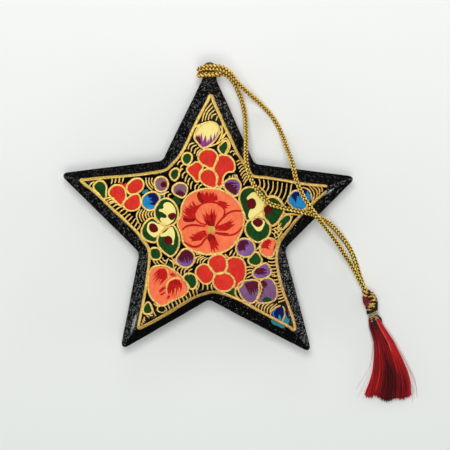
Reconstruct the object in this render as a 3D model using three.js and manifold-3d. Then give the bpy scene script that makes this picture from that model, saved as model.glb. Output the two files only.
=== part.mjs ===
// Papier mache star ornament: a hollow five-pointed star moulded in two halves, a doubled gold
// cord hitched through its top tip, and a silk tassel knotted to the cord's ends.
// Millimetres, +Z up. The star lies face up with its back on z = 0 and its middle on the origin.

import * as THREE from "three";
import { mergeVertices } from "three/addons/utils/BufferGeometryUtils.js";
import Module from "manifold-3d";

const wasm = await Module();
wasm.setup();

// Star outline: five tips and five notches about a hub, each with its own hand-cut deviation
const armReach = 49.4;            // hub to the sharp corner of an average tip
const notchReach = 23.9;          // hub to the sharp corner of an average notch
const starCorners = [             // bearing in degrees, and mm beyond the average reach
  { tip: true, bearing: 17.4, beyond: -2.1 },
  { tip: false, bearing: 53.75, beyond: -1.5 },
  { tip: true, bearing: 90.87, beyond: -0.45 },
  { tip: false, bearing: 128.86, beyond: 0.6 },
  { tip: true, bearing: 162.35, beyond: 0.5 },
  { tip: false, bearing: 202.97, beyond: 0.6 },
  { tip: true, bearing: 234.49, beyond: -0.2 },
  { tip: false, bearing: 267.83, beyond: 0.2 },
  { tip: true, bearing: 307.23, beyond: 2.1 },
  { tip: false, bearing: 339.76, beyond: 0.2 },
];
const hangingTip = 2;             // the corner that carries the cord
const tipRadius = 1.3;            // round of a tip at the rim
const notchRadius = 2.4;          // round of a notch at the rim
const faceTipRadius = 0.35;       // round of a tip of the flat face

// Section of the star
const rimHeight = 2.2;            // upright edge all round
const bevelRise = 3.9;            // height of the bevel above and below the edge
const bevelWidth = 3.8;           // its width seen from the front
const wall = 1.8;                 // thickness of the moulded paper
const stripWidth = 1.3;           // paper strip over the joint, along Z
const stripThickness = 0.5;
const seatGap = 0.2;              // clearance of a piece laid in a recess

// Blunt hanging tip and the bore that runs through it from side to side
const tipHalfWidth = 2.2;
const tipRidge = 0.5;             // half width of the ridge along its top
const tipEnd = 0.8;               // how far its end reaches past the sharp corner
const tipRoot = 6.0;              // how far it runs back into the arm from that corner
const boreSetback = 3.0;          // its end to the axis of the bore

// Cord
const cordDiameter = 1.4;
const cordGap = 0.3;              // clearance of the cord to what it lies on
const turnGap = 0.6;              // clearance between neighbouring turns in the bore
const frontTurnSpread = 0.95;     // each front turn to the axis of the bore, along Y
const bendSetback = 0.9;          // side of the tip to the middle of each bend, inwards

// Tassel
const tasselBearing = -72.9;      // direction it points, in degrees from +X
const headTop = { x: 49.25, y: -26.4 };
const headLength = 6.9;
const headRadius = 1.4;
const headCrown = 0.55;           // radius of its flat top
const headShoulder = 0.95;        // radius where the top's round meets the shoulder
const headCrownDrop = 0.35;       // depth of that place below the top
const headShoulderDrop = 1.1;     // depth at which the head has its full radius
const headTaper = 1.5;            // length that draws in to the neck
const wrapThread = 0.75;          // gold thread wound over the head
const wrapTurns = 4;
const wrapPitch = 1.3;
const neckRadius = 0.85;
const neckLength = 2.3;
const neckThread = 0.4;           // binding thread of the neck
const neckTurns = 2.5;
const neckPitch = 0.84;
const windingGap = 0.12;          // clearance of a winding to what it is wound on
const lockCount = 9;
const skirtLength = 24.2;         // along its middle
const skirtWidth = 13.9;          // across the hem
const lockShare = 0.84;           // part of its own strip that a lock fills
const lockThickness = 1.7;        // at the hem
const lockStart = 0.44;           // thickness of a lock at the neck
const lockPitch = 0.36;           // spacing of the locks at the neck, across
const lockRowRise = 0.42;         // rise of the upper row there above the tassel's axis
const lockSettle = 0.8;           // share of its length after which a lock lies on the table
const skirtLean = 0.12;           // sideways drift of the skirt for each mm of its length
const hemSlant = 0.33;            // mm that the hem draws back for each mm towards the leaning side
const tableGap = 0.05;            // clearance of the silk to the table

// Worked-out sizes
const thickness = rimHeight + 2 * bevelRise;
const seam = thickness / 2;
const cordRadius = cordDiameter / 2;
const recess = stripThickness + seatGap;
const bevelSlope = bevelRise / bevelWidth;
const ridgeRise = rimHeight / 2 + (tipHalfWidth - tipRidge) * bevelSlope;   // tip's ridge over the seam
const tasselHeight = tableGap + headRadius + windingGap + wrapThread;   // its axis above the table

const polar = (reach, bearing) => {
  const turn = THREE.MathUtils.degToRad(bearing);
  return new THREE.Vector2(Math.cos(turn), Math.sin(turn)).multiplyScalar(reach);
};
const sharpCorners = starCorners.map(({ tip, bearing, beyond }) =>
  polar((tip ? armReach : notchReach) + beyond, bearing));

// Where two lines of the outline meet once both have moved inwards by the inset
function insetCorner(before, corner, after, inset) {
  const along = corner.clone().sub(before).normalize();
  const onward = after.clone().sub(corner).normalize();
  const inwardA = new THREE.Vector2(-along.y, along.x);
  const inwardB = new THREE.Vector2(-onward.y, onward.x);
  const share = inset / (1 + inwardA.dot(inwardB));
  return corner.clone().addScaledVector(inwardA.add(inwardB), share);
}

// Points of an arc that rounds one corner
function roundCorner(before, corner, after, radius, steps) {
  const back = before.clone().sub(corner).normalize();
  const ahead = after.clone().sub(corner).normalize();
  const half = Math.acos(THREE.MathUtils.clamp(back.dot(ahead), -1, 1)) / 2;
  const middle = back.clone().add(ahead).normalize();
  const centre = corner.clone().addScaledVector(middle, radius / Math.sin(half));
  const from = corner.clone().addScaledVector(back, radius / Math.tan(half)).sub(centre);
  const to = corner.clone().addScaledVector(ahead, radius / Math.tan(half)).sub(centre);
  const sweep = Math.atan2(from.cross(to), from.dot(to));
  const points = [];
  for (let i = 0; i <= steps; i += 1) {
    points.push(from.clone().rotateAround(new THREE.Vector2(), (sweep * i) / steps).add(centre));
  }
  return points;
}

// The star's outline moved inwards: round tips tighten and round notches open
function starOutline(inset) {
  const steps = 6;
  const count = sharpCorners.length;
  const moved = sharpCorners.map((corner, i) =>
    insetCorner(sharpCorners[(i + count - 1) % count], corner, sharpCorners[(i + 1) % count], inset));
  return moved.flatMap((corner, i) => {
    const isTip = starCorners[i].tip;
    const radius = isTip ? Math.max(tipRadius - inset, faceTipRadius) : notchRadius + inset;
    return roundCorner(moved[(i + count - 1) % count], corner, moved[(i + 1) % count], radius, steps);
  });
}

// A ring of a loft: an outline laid flat at a height
const ringAt = (outline, z) => outline.map((p) => new THREE.Vector3(p.x, p.y, z));

// Closed solid through rings of equal point count, the first and last ones capped
function loft(rings) {
  const count = rings[0].length;
  const positions = rings.flat().flatMap((p) => [p.x, p.y, p.z]);
  const index = [];
  for (let ring = 0; ring + 1 < rings.length; ring += 1) {
    for (let i = 0; i < count; i += 1) {
      const a = ring * count + i;
      const b = ring * count + ((i + 1) % count);
      index.push(a, b, b + count, a, b + count, a + count);
    }
  }
  const capTriangles = (ring) => {
    const origin = ring[0];
    const across = ring[Math.floor(count / 3)].clone().sub(origin).normalize();
    const normal = new THREE.Vector3();
    ring.forEach((p, i) => normal.add(p.clone().cross(ring[(i + 1) % count])));
    const up = normal.normalize().clone().cross(across).normalize();
    const flatAcross = up.clone().cross(normal);
    const flat = ring.map((p) => {
      const offset = p.clone().sub(origin);
      return new THREE.Vector2(offset.dot(flatAcross), offset.dot(up));
    });
    return THREE.ShapeUtils.triangulateShape(flat, []);
  };
  capTriangles(rings[0]).forEach(([a, b, c]) => index.push(a, c, b));
  const top = (rings.length - 1) * count;
  capTriangles(rings.at(-1)).forEach(([a, b, c]) => index.push(top + a, top + b, top + c));
  const geometry = new THREE.BufferGeometry();
  geometry.setAttribute("position", new THREE.Float32BufferAttribute(positions, 3));
  geometry.setIndex(index);
  return geometry;
}

// Solids for cutting and joining
function solidOf(geometry) {
  const bare = geometry.clone();
  bare.deleteAttribute("normal");
  bare.deleteAttribute("uv");
  const merged = mergeVertices(bare);
  return new wasm.Manifold(new wasm.Mesh({
    numProp: 3,
    vertProperties: new Float32Array(merged.attributes.position.array),
    triVerts: new Uint32Array(merged.index.array),
  }));
}

function geometryOf(solid) {
  const mesh = solid.getMesh();
  const geometry = new THREE.BufferGeometry();
  geometry.setAttribute("position", new THREE.BufferAttribute(mesh.vertProperties, 3));
  geometry.setIndex(new THREE.BufferAttribute(mesh.triVerts, 1));
  return geometry;
}

// Middle of the outline, so that the star sits centred on the origin
const outlineBox = new THREE.Box2().setFromPoints(starOutline(0));
const sharpTip = sharpCorners[hangingTip];
const tipTop = sharpTip.y + tipEnd;
outlineBox.expandByPoint(new THREE.Vector2(sharpTip.x, tipTop));
const starMiddle = outlineBox.getCenter(new THREE.Vector2());
const boreCentre = new THREE.Vector3(sharpTip.x, tipTop - boreSetback, seam);
const hitchCentre = new THREE.Vector3(boreCentre.x - starMiddle.x, boreCentre.y - starMiddle.y, seam);

// Outline of the hanging tip: straight sides and a half-round end
function tipOutline(inset) {
  const half = tipHalfWidth - inset;
  const shape = new THREE.Shape();
  shape.moveTo(sharpTip.x - half, sharpTip.y - tipRoot);
  shape.lineTo(sharpTip.x + half, sharpTip.y - tipRoot);
  shape.absarc(sharpTip.x, tipTop - tipHalfWidth, half, 0, Math.PI, false);
  return shape.extractPoints(10).shape;
}

// One moulded half; side is 1 for the front and -1 for the back
function shellGeometry(side) {
  const level = (rise) => seam + side * rise;
  const build = (rings) => solidOf(loft(side > 0 ? rings : rings.reverse()));
  const stripTop = stripWidth / 2 + seatGap;
  const outside = build([
    ringAt(starOutline(recess), level(0)),
    ringAt(starOutline(recess), level(stripTop)),
    ringAt(starOutline(0), level(stripTop)),
    ringAt(starOutline(0), level(rimHeight / 2)),
    ringAt(starOutline(bevelWidth), level(thickness / 2)),
  ]);
  const hanger = build([
    ringAt(tipOutline(0), level(0)),
    ringAt(tipOutline(0), level(rimHeight / 2)),
    ringAt(tipOutline(tipHalfWidth - tipRidge), level(ridgeRise)),
  ]);
  const floorRise = thickness / 2 - wall;
  const floorInset = wall + recess + (floorRise - rimHeight / 2) / bevelSlope;
  const hollow = build([
    ringAt(starOutline(wall + recess), level(-wall)),
    ringAt(starOutline(wall + recess), level(rimHeight / 2)),
    ringAt(starOutline(floorInset), level(floorRise)),
  ]);
  const boreRadius = 2 * cordRadius + turnGap / 2 + cordGap;
  const bore = new THREE.CylinderGeometry(boreRadius, boreRadius, 6 * tipHalfWidth, 32);
  bore.rotateZ(Math.PI / 2).translate(boreCentre.x, boreCentre.y, boreCentre.z);
  return geometryOf(outside.add(hanger).subtract(hollow).subtract(solidOf(bore)));
}

// Paper strip in the recess over the joint, open where the hanging tip stands
function stripGeometry() {
  const band = (inset, height) => solidOf(loft([
    ringAt(starOutline(inset), seam - height / 2),
    ringAt(starOutline(inset), seam + height / 2),
  ]));
  const room = new THREE.BoxGeometry(4 * tipHalfWidth, 2 * (tipRoot + seatGap), thickness);
  room.translate(sharpTip.x, sharpTip.y, seam);
  const inside = band(stripThickness, 2 * stripWidth);
  return geometryOf(band(0, stripWidth).subtract(inside).subtract(solidOf(room)));
}

// Round turn of the cord: over the front of the tip, round its side and back through the bore, twice
function roundTurn() {
  const front = ridgeRise + cordGap + cordRadius;
  const bend = front / 2;
  const run = tipHalfWidth - bendSetback;
  const inBore = cordRadius + turnGap / 2;
  const bendSteps = 6;
  const points = [];
  const add = (u, v, w) => points.push(new THREE.Vector3(u, v, w).add(hitchCentre));
  for (const turn of [1, -1]) {
    for (const u of [run, 0]) {
      add(u, turn * frontTurnSpread, front);
    }
    for (let i = 0; i <= bendSteps; i += 1) {
      const angle = Math.PI * (0.5 + i / bendSteps);
      const v = turn * THREE.MathUtils.lerp(frontTurnSpread, inBore, i / bendSteps);
      add(-run + bend * Math.cos(angle), v, bend + bend * Math.sin(angle));
    }
    add(0, turn * inBore, 0);
    add(run, turn * inBore, 0);
    if (turn > 0) {
      for (let i = 1; i < bendSteps; i += 1) {
        const angle = Math.PI * (i / bendSteps - 0.5);
        const drift = THREE.MathUtils.smoothstep(i / bendSteps, 0, 1);
        const v = THREE.MathUtils.lerp(inBore, -frontTurnSpread, drift);
        add(run + bend * Math.cos(angle), v, bend + bend * Math.sin(angle));
      }
    }
  }
  return points;
}

// Plan and height of each strand from the tip to the tassel, as the cord lies
const outerStrand = [
  [3.4, 42.85, 8.8], [5.1, 42.35, 8.5], [6.7, 41.2, 7.9], [8.4, 39.3, 7.0], [10.2, 37.4, 5.9],
  [12.9, 35.0, 4.2], [15.4, 32.9, 2.7], [17.7, 30.7, 1.6], [19.9, 28.2, 1.0], [21.7, 25.3, 1.2],
  [23.0, 22.4, 2.5], [24.0, 19.5, 4.6], [25.0, 16.6, 7.0], [25.8, 14.2, 8.9], [26.5, 11.5, 10.3],
  [27.4, 7.6, 11.2], [29.4, 3.1, 11.4], [31.3, 0.0, 11.4], [33.1, -2.4, 10.8], [34.9, -4.7, 9.6],
  [37.3, -7.6, 7.2], [39.9, -11.0, 5.3], [42.3, -14.6, 4.0], [44.3, -17.6, 3.3], [46.0, -20.6, 3.05],
  [47.5, -23.5, 3.05], [48.9, -26.05, 3.1],
];
const innerStrand = [
  [3.2, 40.75, 4.7], [4.5, 40.95, 4.5], [5.8, 40.4, 4.4], [7.1, 39.3, 4.3], [8.2, 37.9, 4.1],
  [9.2, 36.2, 3.9], [10.3, 33.6, 3.5], [11.1, 30.8, 3.2], [11.5, 28.0, 3.4], [11.7, 24.9, 4.6],
  [11.8, 21.5, 6.7], [11.7, 18.2, 8.8], [11.7, 15.5, 9.9], [11.9, 12.8, 10.8], [13.3, 8.1, 11.2],
  [16.0, 3.7, 11.2],
  [19.0, 0.7, 11.2], [23.4, -0.65, 11.2], [27.8, -1.6, 11.2], [30.4, -2.2, 10.85], [32.7, -2.8, 9.1],
  [34.6, -3.7, 7.3], [36.5, -4.6, 5.5], [38.6, -6.1, 3.8], [41.2, -8.9, 2.2], [43.6, -12.1, 1.3],
  [45.2, -15.0, 0.95], [46.3, -18.0, 0.95], [47.2, -21.1, 1.15], [48.85, -26.0, 1.55],
];

// The whole cord on one smooth curve, from the tassel over the star's tip and back
const routePoints = [
  ...outerStrand.map((p) => new THREE.Vector3(...p)).reverse(),
  ...roundTurn(),
  ...innerStrand.map((p) => new THREE.Vector3(...p)),
];
const route = new THREE.CatmullRomCurve3(routePoints, false, "centripetal");
route.arcLengthDivisions = 4000;
const routeLength = route.getLength();

// A length of the route between two distances from its start
class Stretch extends THREE.Curve {
  constructor(from, to) {
    super();
    this.from = from / routeLength;
    this.to = to / routeLength;
  }

  getPoint(t, target) {
    return route.getPointAt(THREE.MathUtils.lerp(this.from, this.to, t), target);
  }
}

// Distance along the route of the place that passes nearest to a point
function distanceTo(point) {
  const samples = 4000;
  let best = 0;
  let least = Infinity;
  for (let i = 0; i <= samples; i += 1) {
    const gap = route.getPointAt(i / samples).distanceTo(point);
    if (gap < least) {
      least = gap;
      best = (i / samples) * routeLength;
    }
  }
  return best;
}

// Closed tube along a curve
function tube(curve, diameter, sides, steps) {
  const section = new THREE.Shape();
  for (let i = 0; i < sides; i += 1) {
    const corner = polar(diameter / 2, (360 * (i + 0.5)) / sides);
    if (i === 0) section.moveTo(corner.x, corner.y);
    else section.lineTo(corner.x, corner.y);
  }
  section.closePath();
  return new THREE.ExtrudeGeometry(section, { steps, extrudePath: curve, curveSegments: 1 });
}

// Least gap of a tube to its own neighbouring turns, measured on points
function selfGap(curve, diameter, samples) {
  const points = curve.getSpacedPoints(samples);
  const spacing = curve.getLength() / samples;
  const apart = Math.ceil((Math.PI * diameter) / spacing);
  let least = Infinity;
  for (let i = 0; i < points.length; i += 1) {
    for (let j = i + apart; j < points.length; j += 1) {
      least = Math.min(least, points[i].distanceTo(points[j]));
    }
  }
  return least - diameter;
}

// Tassel, modelled along -Z from the top of its head and then laid on the table
const headProfile = [
  [0, 0], [headCrown, 0], [headShoulder, -headCrownDrop], [headRadius, -headShoulderDrop],
  [headRadius, -headLength + headTaper], [neckRadius, -headLength],
  [neckRadius, -headLength - neckLength], [0, -headLength - neckLength],
];

function headGeometry() {
  const profile = headProfile.map(([r, z]) => new THREE.Vector2(r, z)).reverse();
  return new THREE.LatheGeometry(profile, 20).rotateX(Math.PI / 2);
}

// Helix wound down from a starting depth, its ends running straight for one thread's thickness
class Winding extends THREE.Curve {
  constructor(radius, start, turns, pitch, thread) {
    super();
    Object.assign(this, { radius, start, turns, pitch, thread });
    this.wound = turns * Math.hypot(2 * Math.PI * radius, pitch);
  }

  getPoint(t, target = new THREE.Vector3()) {
    const along = t * (this.wound + 2 * this.thread) - this.thread;
    const share = THREE.MathUtils.clamp(along / this.wound, 0, 1);
    const angle = 2 * Math.PI * this.turns * share;
    const fall = this.pitch / (2 * Math.PI * this.radius);
    const heading = new THREE.Vector3(-Math.sin(angle), Math.cos(angle), -fall);
    const depth = this.start - this.turns * this.pitch * share;
    target.set(this.radius * Math.cos(angle), this.radius * Math.sin(angle), depth);
    return target.addScaledVector(heading.normalize(), along - share * this.wound);
  }
}

const loopSteps = 24;
const loopSides = 6;
const headCoil = headRadius + windingGap + wrapThread / 2;
const headStart = -(headLength - wrapTurns * wrapPitch) / 2;
const headWinding = new Winding(headCoil, headStart, wrapTurns, wrapPitch, wrapThread);
const neckCoil = neckRadius + windingGap + neckThread / 2;
const neckStart = -headLength - (neckLength - neckTurns * neckPitch) / 2;
const neckWinding = new Winding(neckCoil, neckStart, neckTurns, neckPitch, neckThread);
const hitchStart = distanceTo(new THREE.Vector3(...outerStrand[1]));
const hitchEnd = distanceTo(new THREE.Vector3(...innerStrand[1]));
const hitchCurve = new Stretch(hitchStart, hitchEnd);

// One lock of the skirt: it leaves the neck in one of two rows, fans out and comes to lie on the table
function lockGeometry(index) {
  const rings = [];
  const sides = 8;
  const ringCount = 8;
  const place = index - (lockCount - 1) / 2;
  const row = index % 2 === 0 ? 1 : -1;
  const hemStrip = skirtWidth / lockCount;
  const start = headLength + neckLength + cordGap;
  for (let i = 0; i <= ringCount; i += 1) {
    const t = i / ringCount;
    const strip = THREE.MathUtils.lerp(lockPitch, hemStrip, t);
    const settle = THREE.MathUtils.smoothstep(t, 0, lockSettle);
    const halfWidth = (lockShare * strip) / 2;
    const halfHeight = THREE.MathUtils.lerp(lockStart / 2, lockThickness / 2, t);
    const rest = halfHeight + tableGap - tasselHeight;
    const height = THREE.MathUtils.lerp(row * lockRowRise, rest, settle);
    const depth = t * (skirtLength - hemSlant * place * hemStrip);
    const across = place * strip + skirtLean * depth;
    const ring = [];
    for (let k = 0; k < sides; k += 1) {
      const corner = polar(1, (360 * (k + 0.5)) / sides);
      const x = across + halfWidth * corner.x;
      ring.push(new THREE.Vector3(x, height + halfHeight * corner.y, -start - depth));
    }
    rings.push(ring);
  }
  return loft(rings.reverse());
}

// Colours and finishes
const finish = (color, roughness, metalness) =>
  new THREE.MeshStandardMaterial({ color, roughness, metalness });
const lacquer = () => finish(0x0c0a0a, 0.3, 0);
const paper = () => finish(0x2a2421, 0.7, 0);
const goldCord = () => finish(0xc49a2c, 0.4, 0.8);
const silk = () => finish(0xa01722, 0.5, 0);
const binding = () => finish(0x5a4a22, 0.6, 0.3);

function piece(name, geometry, material) {
  const mesh = new THREE.Mesh(geometry, material);
  mesh.name = name;
  return mesh;
}

const ornament = new THREE.Group();
const star = new THREE.Group();
star.position.set(-starMiddle.x, -starMiddle.y, 0);
star.add(piece("front_shell", shellGeometry(1), lacquer()));
star.add(piece("back_shell", shellGeometry(-1), lacquer()));
star.add(piece("seam_strip", stripGeometry(), paper()));
ornament.add(star);

const outerCurve = new Stretch(0, hitchStart - cordGap);
const innerCurve = new Stretch(hitchEnd + cordGap, routeLength);
ornament.add(piece("cord_strand_outer", tube(outerCurve, cordDiameter, 8, 27), goldCord()));
ornament.add(piece("cord_hitch", tube(hitchCurve, cordDiameter, 8, 40), goldCord()));
ornament.add(piece("cord_strand_inner", tube(innerCurve, cordDiameter, 8, 29), goldCord()));

const tassel = new THREE.Group();
tassel.position.set(headTop.x, headTop.y, tasselHeight);
tassel.rotation.set(Math.PI / 2, 0, THREE.MathUtils.degToRad(tasselBearing - 90), "ZYX");
tassel.add(piece("tassel_head", headGeometry(), silk()));
const headWrap = tube(headWinding, wrapThread, loopSides, wrapTurns * loopSteps);
const neckBinding = tube(neckWinding, neckThread, loopSides, neckTurns * loopSteps);
tassel.add(piece("head_wrap", headWrap, goldCord()));
tassel.add(piece("neck_binding", neckBinding, binding()));
for (let i = 0; i < lockCount; i += 1) {
  tassel.add(piece(`silk_lock_${i + 1}`, lockGeometry(i), silk()));
}
ornament.add(tassel);

const measured = [["cord_hitch", hitchCurve, cordDiameter], ["head_wrap", headWinding, wrapThread],
  ["neck_binding", neckWinding, neckThread]];
for (const [name, curve, diameter] of measured) {
  console.log(`${name}: least gap to itself ${selfGap(curve, diameter, 400).toFixed(2)} mm`);
}
console.log(`cord length ${routeLength.toFixed(1)} mm`);

export default ornament;
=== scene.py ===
import math
import random

import bmesh
import bpy
from mathutils import Matrix, Vector, noise
from mathutils.bvhtree import BVHTree


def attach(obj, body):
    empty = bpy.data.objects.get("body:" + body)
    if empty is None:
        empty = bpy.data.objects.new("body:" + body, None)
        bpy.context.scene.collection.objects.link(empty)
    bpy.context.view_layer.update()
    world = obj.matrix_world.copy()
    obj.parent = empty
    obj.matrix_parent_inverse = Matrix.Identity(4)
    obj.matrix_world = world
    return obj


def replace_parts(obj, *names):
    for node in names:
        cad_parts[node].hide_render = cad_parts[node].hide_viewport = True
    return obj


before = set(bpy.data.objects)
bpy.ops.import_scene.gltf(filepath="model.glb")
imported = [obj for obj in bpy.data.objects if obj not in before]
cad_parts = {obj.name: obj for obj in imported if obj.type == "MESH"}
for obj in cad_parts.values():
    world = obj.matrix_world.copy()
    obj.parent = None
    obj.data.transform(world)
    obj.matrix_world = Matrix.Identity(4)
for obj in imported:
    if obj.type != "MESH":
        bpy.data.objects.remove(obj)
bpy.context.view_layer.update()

mm = 0.001
scene = bpy.context.scene
scene.view_settings.view_transform = "Standard"
noise.seed_set(4)   # the same unevenness on every run

# camera, straight above the star
view = {
    "across": 139.6, "middle": (5.26, -5.92), "height": 700.0, "level": 8.0, "sensor": 36.0, "nearest": 10.0,
}


def addCamera():
    data = bpy.data.cameras.new("camera")
    data.sensor_width = view["sensor"]
    data.lens = view["sensor"] * (view["height"] - view["level"]) / view["across"]
    data.clip_start = view["nearest"] * mm
    camera = bpy.data.objects.new("camera", data)
    camera.location = Vector((*view["middle"], view["height"])) * mm
    scene.collection.objects.link(camera)
    scene.camera = camera


addCamera()
print("camera placed")


# helpers shared by the pieces
def srgb(red, green, blue):   # a colour as the eye reads it, 0 to 255, made linear
    def linear(value):
        share = value / 255
        return share / 12.92 if share <= 0.04045 else ((share + 0.055) / 1.055) ** 2.4
    return (linear(red), linear(green), linear(blue), 1.0)


def newPiece(name, mesh, body, slot, *materials):
    piece = bpy.data.objects.new(name, mesh)
    scene.collection.objects.link(piece)
    for material in materials:
        mesh.materials.append(material)
    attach(piece, body)
    return piece


def meshOf(bm, name, smoothAngle=None):
    mesh = bpy.data.meshes.new(name)
    bm.to_mesh(mesh)
    bm.free()
    if smoothAngle is not None:
        mesh.shade_smooth()
        mesh.set_sharp_from_angle(angle=math.radians(smoothAngle))
    return mesh


def curveMesh(data):   # the mesh of a curve, which is then removed
    holder = bpy.data.objects.new(data.name, data)
    mesh = bpy.data.meshes.new_from_object(holder)
    bpy.data.objects.remove(holder)
    bpy.data.curves.remove(data)
    return mesh


def tubes(name, lines, roundness=1):   # lines: (points, radii) in metres, each made a closed tube
    data = bpy.data.curves.new(name, "CURVE")
    data.dimensions = "3D"
    data.bevel_depth = 1.0
    data.bevel_resolution = roundness
    data.use_fill_caps = True
    for points, radii in lines:
        spline = data.splines.new("POLY")
        spline.points.add(len(points) - 1)
        for place, point, radius in zip(spline.points, points, radii):
            place.co = (*point, 1.0)
            place.radius = radius
    mesh = curveMesh(data)
    mesh.shade_smooth()
    return mesh


def joined(name, parts):   # parts: (mesh, material index)
    bm = bmesh.new()
    for mesh, index in parts:
        first = len(bm.faces)
        bm.from_mesh(mesh)
        bm.faces.ensure_lookup_table()
        for face in bm.faces[first:]:
            face.material_index = index
        bpy.data.meshes.remove(mesh)
    return meshOf(bm, name)


def throughPoints(points, step):   # smooth curve through points, then evenly spaced places on it
    finer = 16   # places worked out between two points
    ends = [2 * points[0] - points[1], *points, 2 * points[-1] - points[-2]]
    fine = []
    for p0, p1, p2, p3 in zip(ends, ends[1:], ends[2:], ends[3:]):
        t1 = (p1 - p0).length ** 0.5
        t2 = t1 + (p2 - p1).length ** 0.5
        t3 = t2 + (p3 - p2).length ** 0.5
        for i in range(finer):
            t = t1 + (t2 - t1) * i / finer
            a1 = p0.lerp(p1, t / t1)
            a2 = p1.lerp(p2, (t - t1) / (t2 - t1))
            a3 = p2.lerp(p3, (t - t2) / (t3 - t2))
            b1 = a1.lerp(a2, t / t2)
            b2 = a2.lerp(a3, (t - t1) / (t3 - t1))
            fine.append(b1.lerp(b2, (t - t1) / (t2 - t1)))
    fine.append(points[-1].copy())
    along = [0.0]
    for a, b in zip(fine, fine[1:]):
        along.append(along[-1] + (b - a).length)
    count = max(2, round(along[-1] / step))
    spaced = []
    place = 0
    for i in range(count + 1):
        target = along[-1] * i / count
        while place < len(along) - 2 and along[place + 1] < target:
            place += 1
        share = (target - along[place]) / (along[place + 1] - along[place])
        spaced.append(fine[place].lerp(fine[place + 1], share))
    return spaced


def smoothRise(value, low, high):
    share = min(1.0, max(0.0, (value - low) / (high - low)))
    return share * share * (3 - 2 * share)


def sideFrames(path):   # two directions across the path at each place, without twist
    tangents = []
    for i in range(len(path)):
        tangents.append((path[min(i + 1, len(path) - 1)] - path[max(i - 1, 0)]).normalized())
    side = tangents[0].orthogonal().normalized()
    frames = []
    for before, now in zip([tangents[0], *tangents], tangents):
        side = (before.rotation_difference(now) @ side).normalized()
        side = (side - now * side.dot(now)).normalized()
        frames.append((side, now.cross(side)))
    return frames


def twisted(path, radius, plies, pitch):   # plies laid round the path
    step, away, thickness = 0.12, 0.5, 0.55   # mm along the path, then shares of the radius
    path = throughPoints([p * mm for p in path], step * mm)
    frames = sideFrames(path)
    lines = []
    for ply in range(plies):
        points = []
        for i, (place, (side, up)) in enumerate(zip(path, frames)):
            angle = 2 * math.pi * (i * step / pitch + ply / plies)
            points.append(place + (side * math.cos(angle) + up * math.sin(angle)) * radius * away * mm)
        lines.append((points, [radius * thickness * mm] * len(points)))
    return lines


# shader helpers
def setSockets(node, values):   # keys are names of sockets, with _ for a space
    for key, value in values.items():
        node.inputs[key.replace("_", " ")].default_value = value
    return node


def newMaterial(name, **values):
    material = bpy.data.materials.new(name)
    material.use_nodes = True
    tree = material.node_tree
    return material, tree, setSockets(tree.nodes["Principled BSDF"], values)


def addNode(tree, kind, settings=None, **values):
    node = tree.nodes.new(kind)
    for key, value in (settings or {}).items():
        setattr(node, key, value)
    return setSockets(node, values)


def newGroup(name, inputs, outputs):   # inputs and outputs: the kind of each socket
    group = bpy.data.node_groups.new(name, "ShaderNodeTree")
    for way, sockets in (("INPUT", inputs), ("OUTPUT", outputs)):
        for label, kind in sockets.items():
            group.interface.new_socket(name=label, in_out=way, socket_type="NodeSocket" + kind)
    return group, group.nodes.new("NodeGroupInput").outputs, group.nodes.new("NodeGroupOutput").inputs


def objectPlace(tree):
    return tree.nodes.new("ShaderNodeTexCoord").outputs["Object"]


def placeParts(tree):   # X, Y and Z of the place on the object
    parts = tree.nodes.new("ShaderNodeSeparateXYZ")
    tree.links.new(objectPlace(tree), parts.inputs[0])
    return parts.outputs


def useGroup(tree, group, **values):
    node = tree.nodes.new("ShaderNodeGroup")
    node.node_tree = group
    tree.links.new(objectPlace(tree), node.inputs["Vector"])
    return setSockets(node, values)


def shareOf(tree, value, low, high, kind="LINEAR"):   # 0 at low, 1 at high
    node = addNode(tree, "ShaderNodeMapRange", {"interpolation_type": kind}, From_Min=low, From_Max=high)
    tree.links.new(value, node.inputs["Value"])
    return node.outputs["Result"]


def mixed(tree, factor, first, second):   # the two colours may be sockets or plain values
    node = addNode(tree, "ShaderNodeMix", {"data_type": "RGBA"})
    for label, value in (("Factor", factor), ("A", first), ("B", second)):
        if isinstance(value, bpy.types.NodeSocket):
            tree.links.new(value, node.inputs[label])
        else:
            node.inputs[label].default_value = value
    return node.outputs["Result"]


def ramp(tree, value, stops):   # stops: (place, colour)
    node = tree.nodes.new("ShaderNodeValToRGB")
    elements = node.color_ramp.elements
    while len(elements) < len(stops):
        elements.new(0.5)
    for element, (place, colour) in zip(elements, stops):
        element.position = place
        element.color = colour
    tree.links.new(value, node.inputs["Fac"])
    return node.outputs["Color"]


def addBump(tree, shader, height, strength, rise):   # rise in mm
    bump = addNode(tree, "ShaderNodeBump", Strength=strength, Distance=rise * mm)
    tree.links.new(height, bump.inputs["Height"])
    tree.links.new(bump.outputs["Normal"], shader.inputs["Normal"])


def makeGrainGroup():   # small grains and larger unevenness, as a height and a mask
    broadShare = 0.22   # scale of the unevenness, with 1 for that of the grains
    group, inside, outside = newGroup("grain", {"Vector": "Vector", "Scale": "Float", "Spread": "Float"},
                                      {"Height": "Float", "Mask": "Float"})
    link = group.links.new
    fine = addNode(group, "ShaderNodeTexNoise", Detail=3.0, Roughness=0.6)
    broad = addNode(group, "ShaderNodeTexNoise", Detail=2.0, Roughness=0.5)
    wide = addNode(group, "ShaderNodeMath", {"operation": "MULTIPLY"})
    wide.inputs[1].default_value = broadShare
    height = addNode(group, "ShaderNodeMath", {"operation": "MULTIPLY_ADD"})
    link(inside["Vector"], fine.inputs["Vector"])
    link(inside["Scale"], fine.inputs["Scale"])
    link(inside["Vector"], broad.inputs["Vector"])
    link(inside["Scale"], wide.inputs[0])
    link(wide.outputs[0], broad.inputs["Scale"])
    link(broad.outputs["Fac"], height.inputs[0])
    link(inside["Spread"], height.inputs[1])
    link(fine.outputs["Fac"], height.inputs[2])
    link(height.outputs[0], outside["Height"])
    link(fine.outputs["Fac"], outside["Mask"])
    return group


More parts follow.
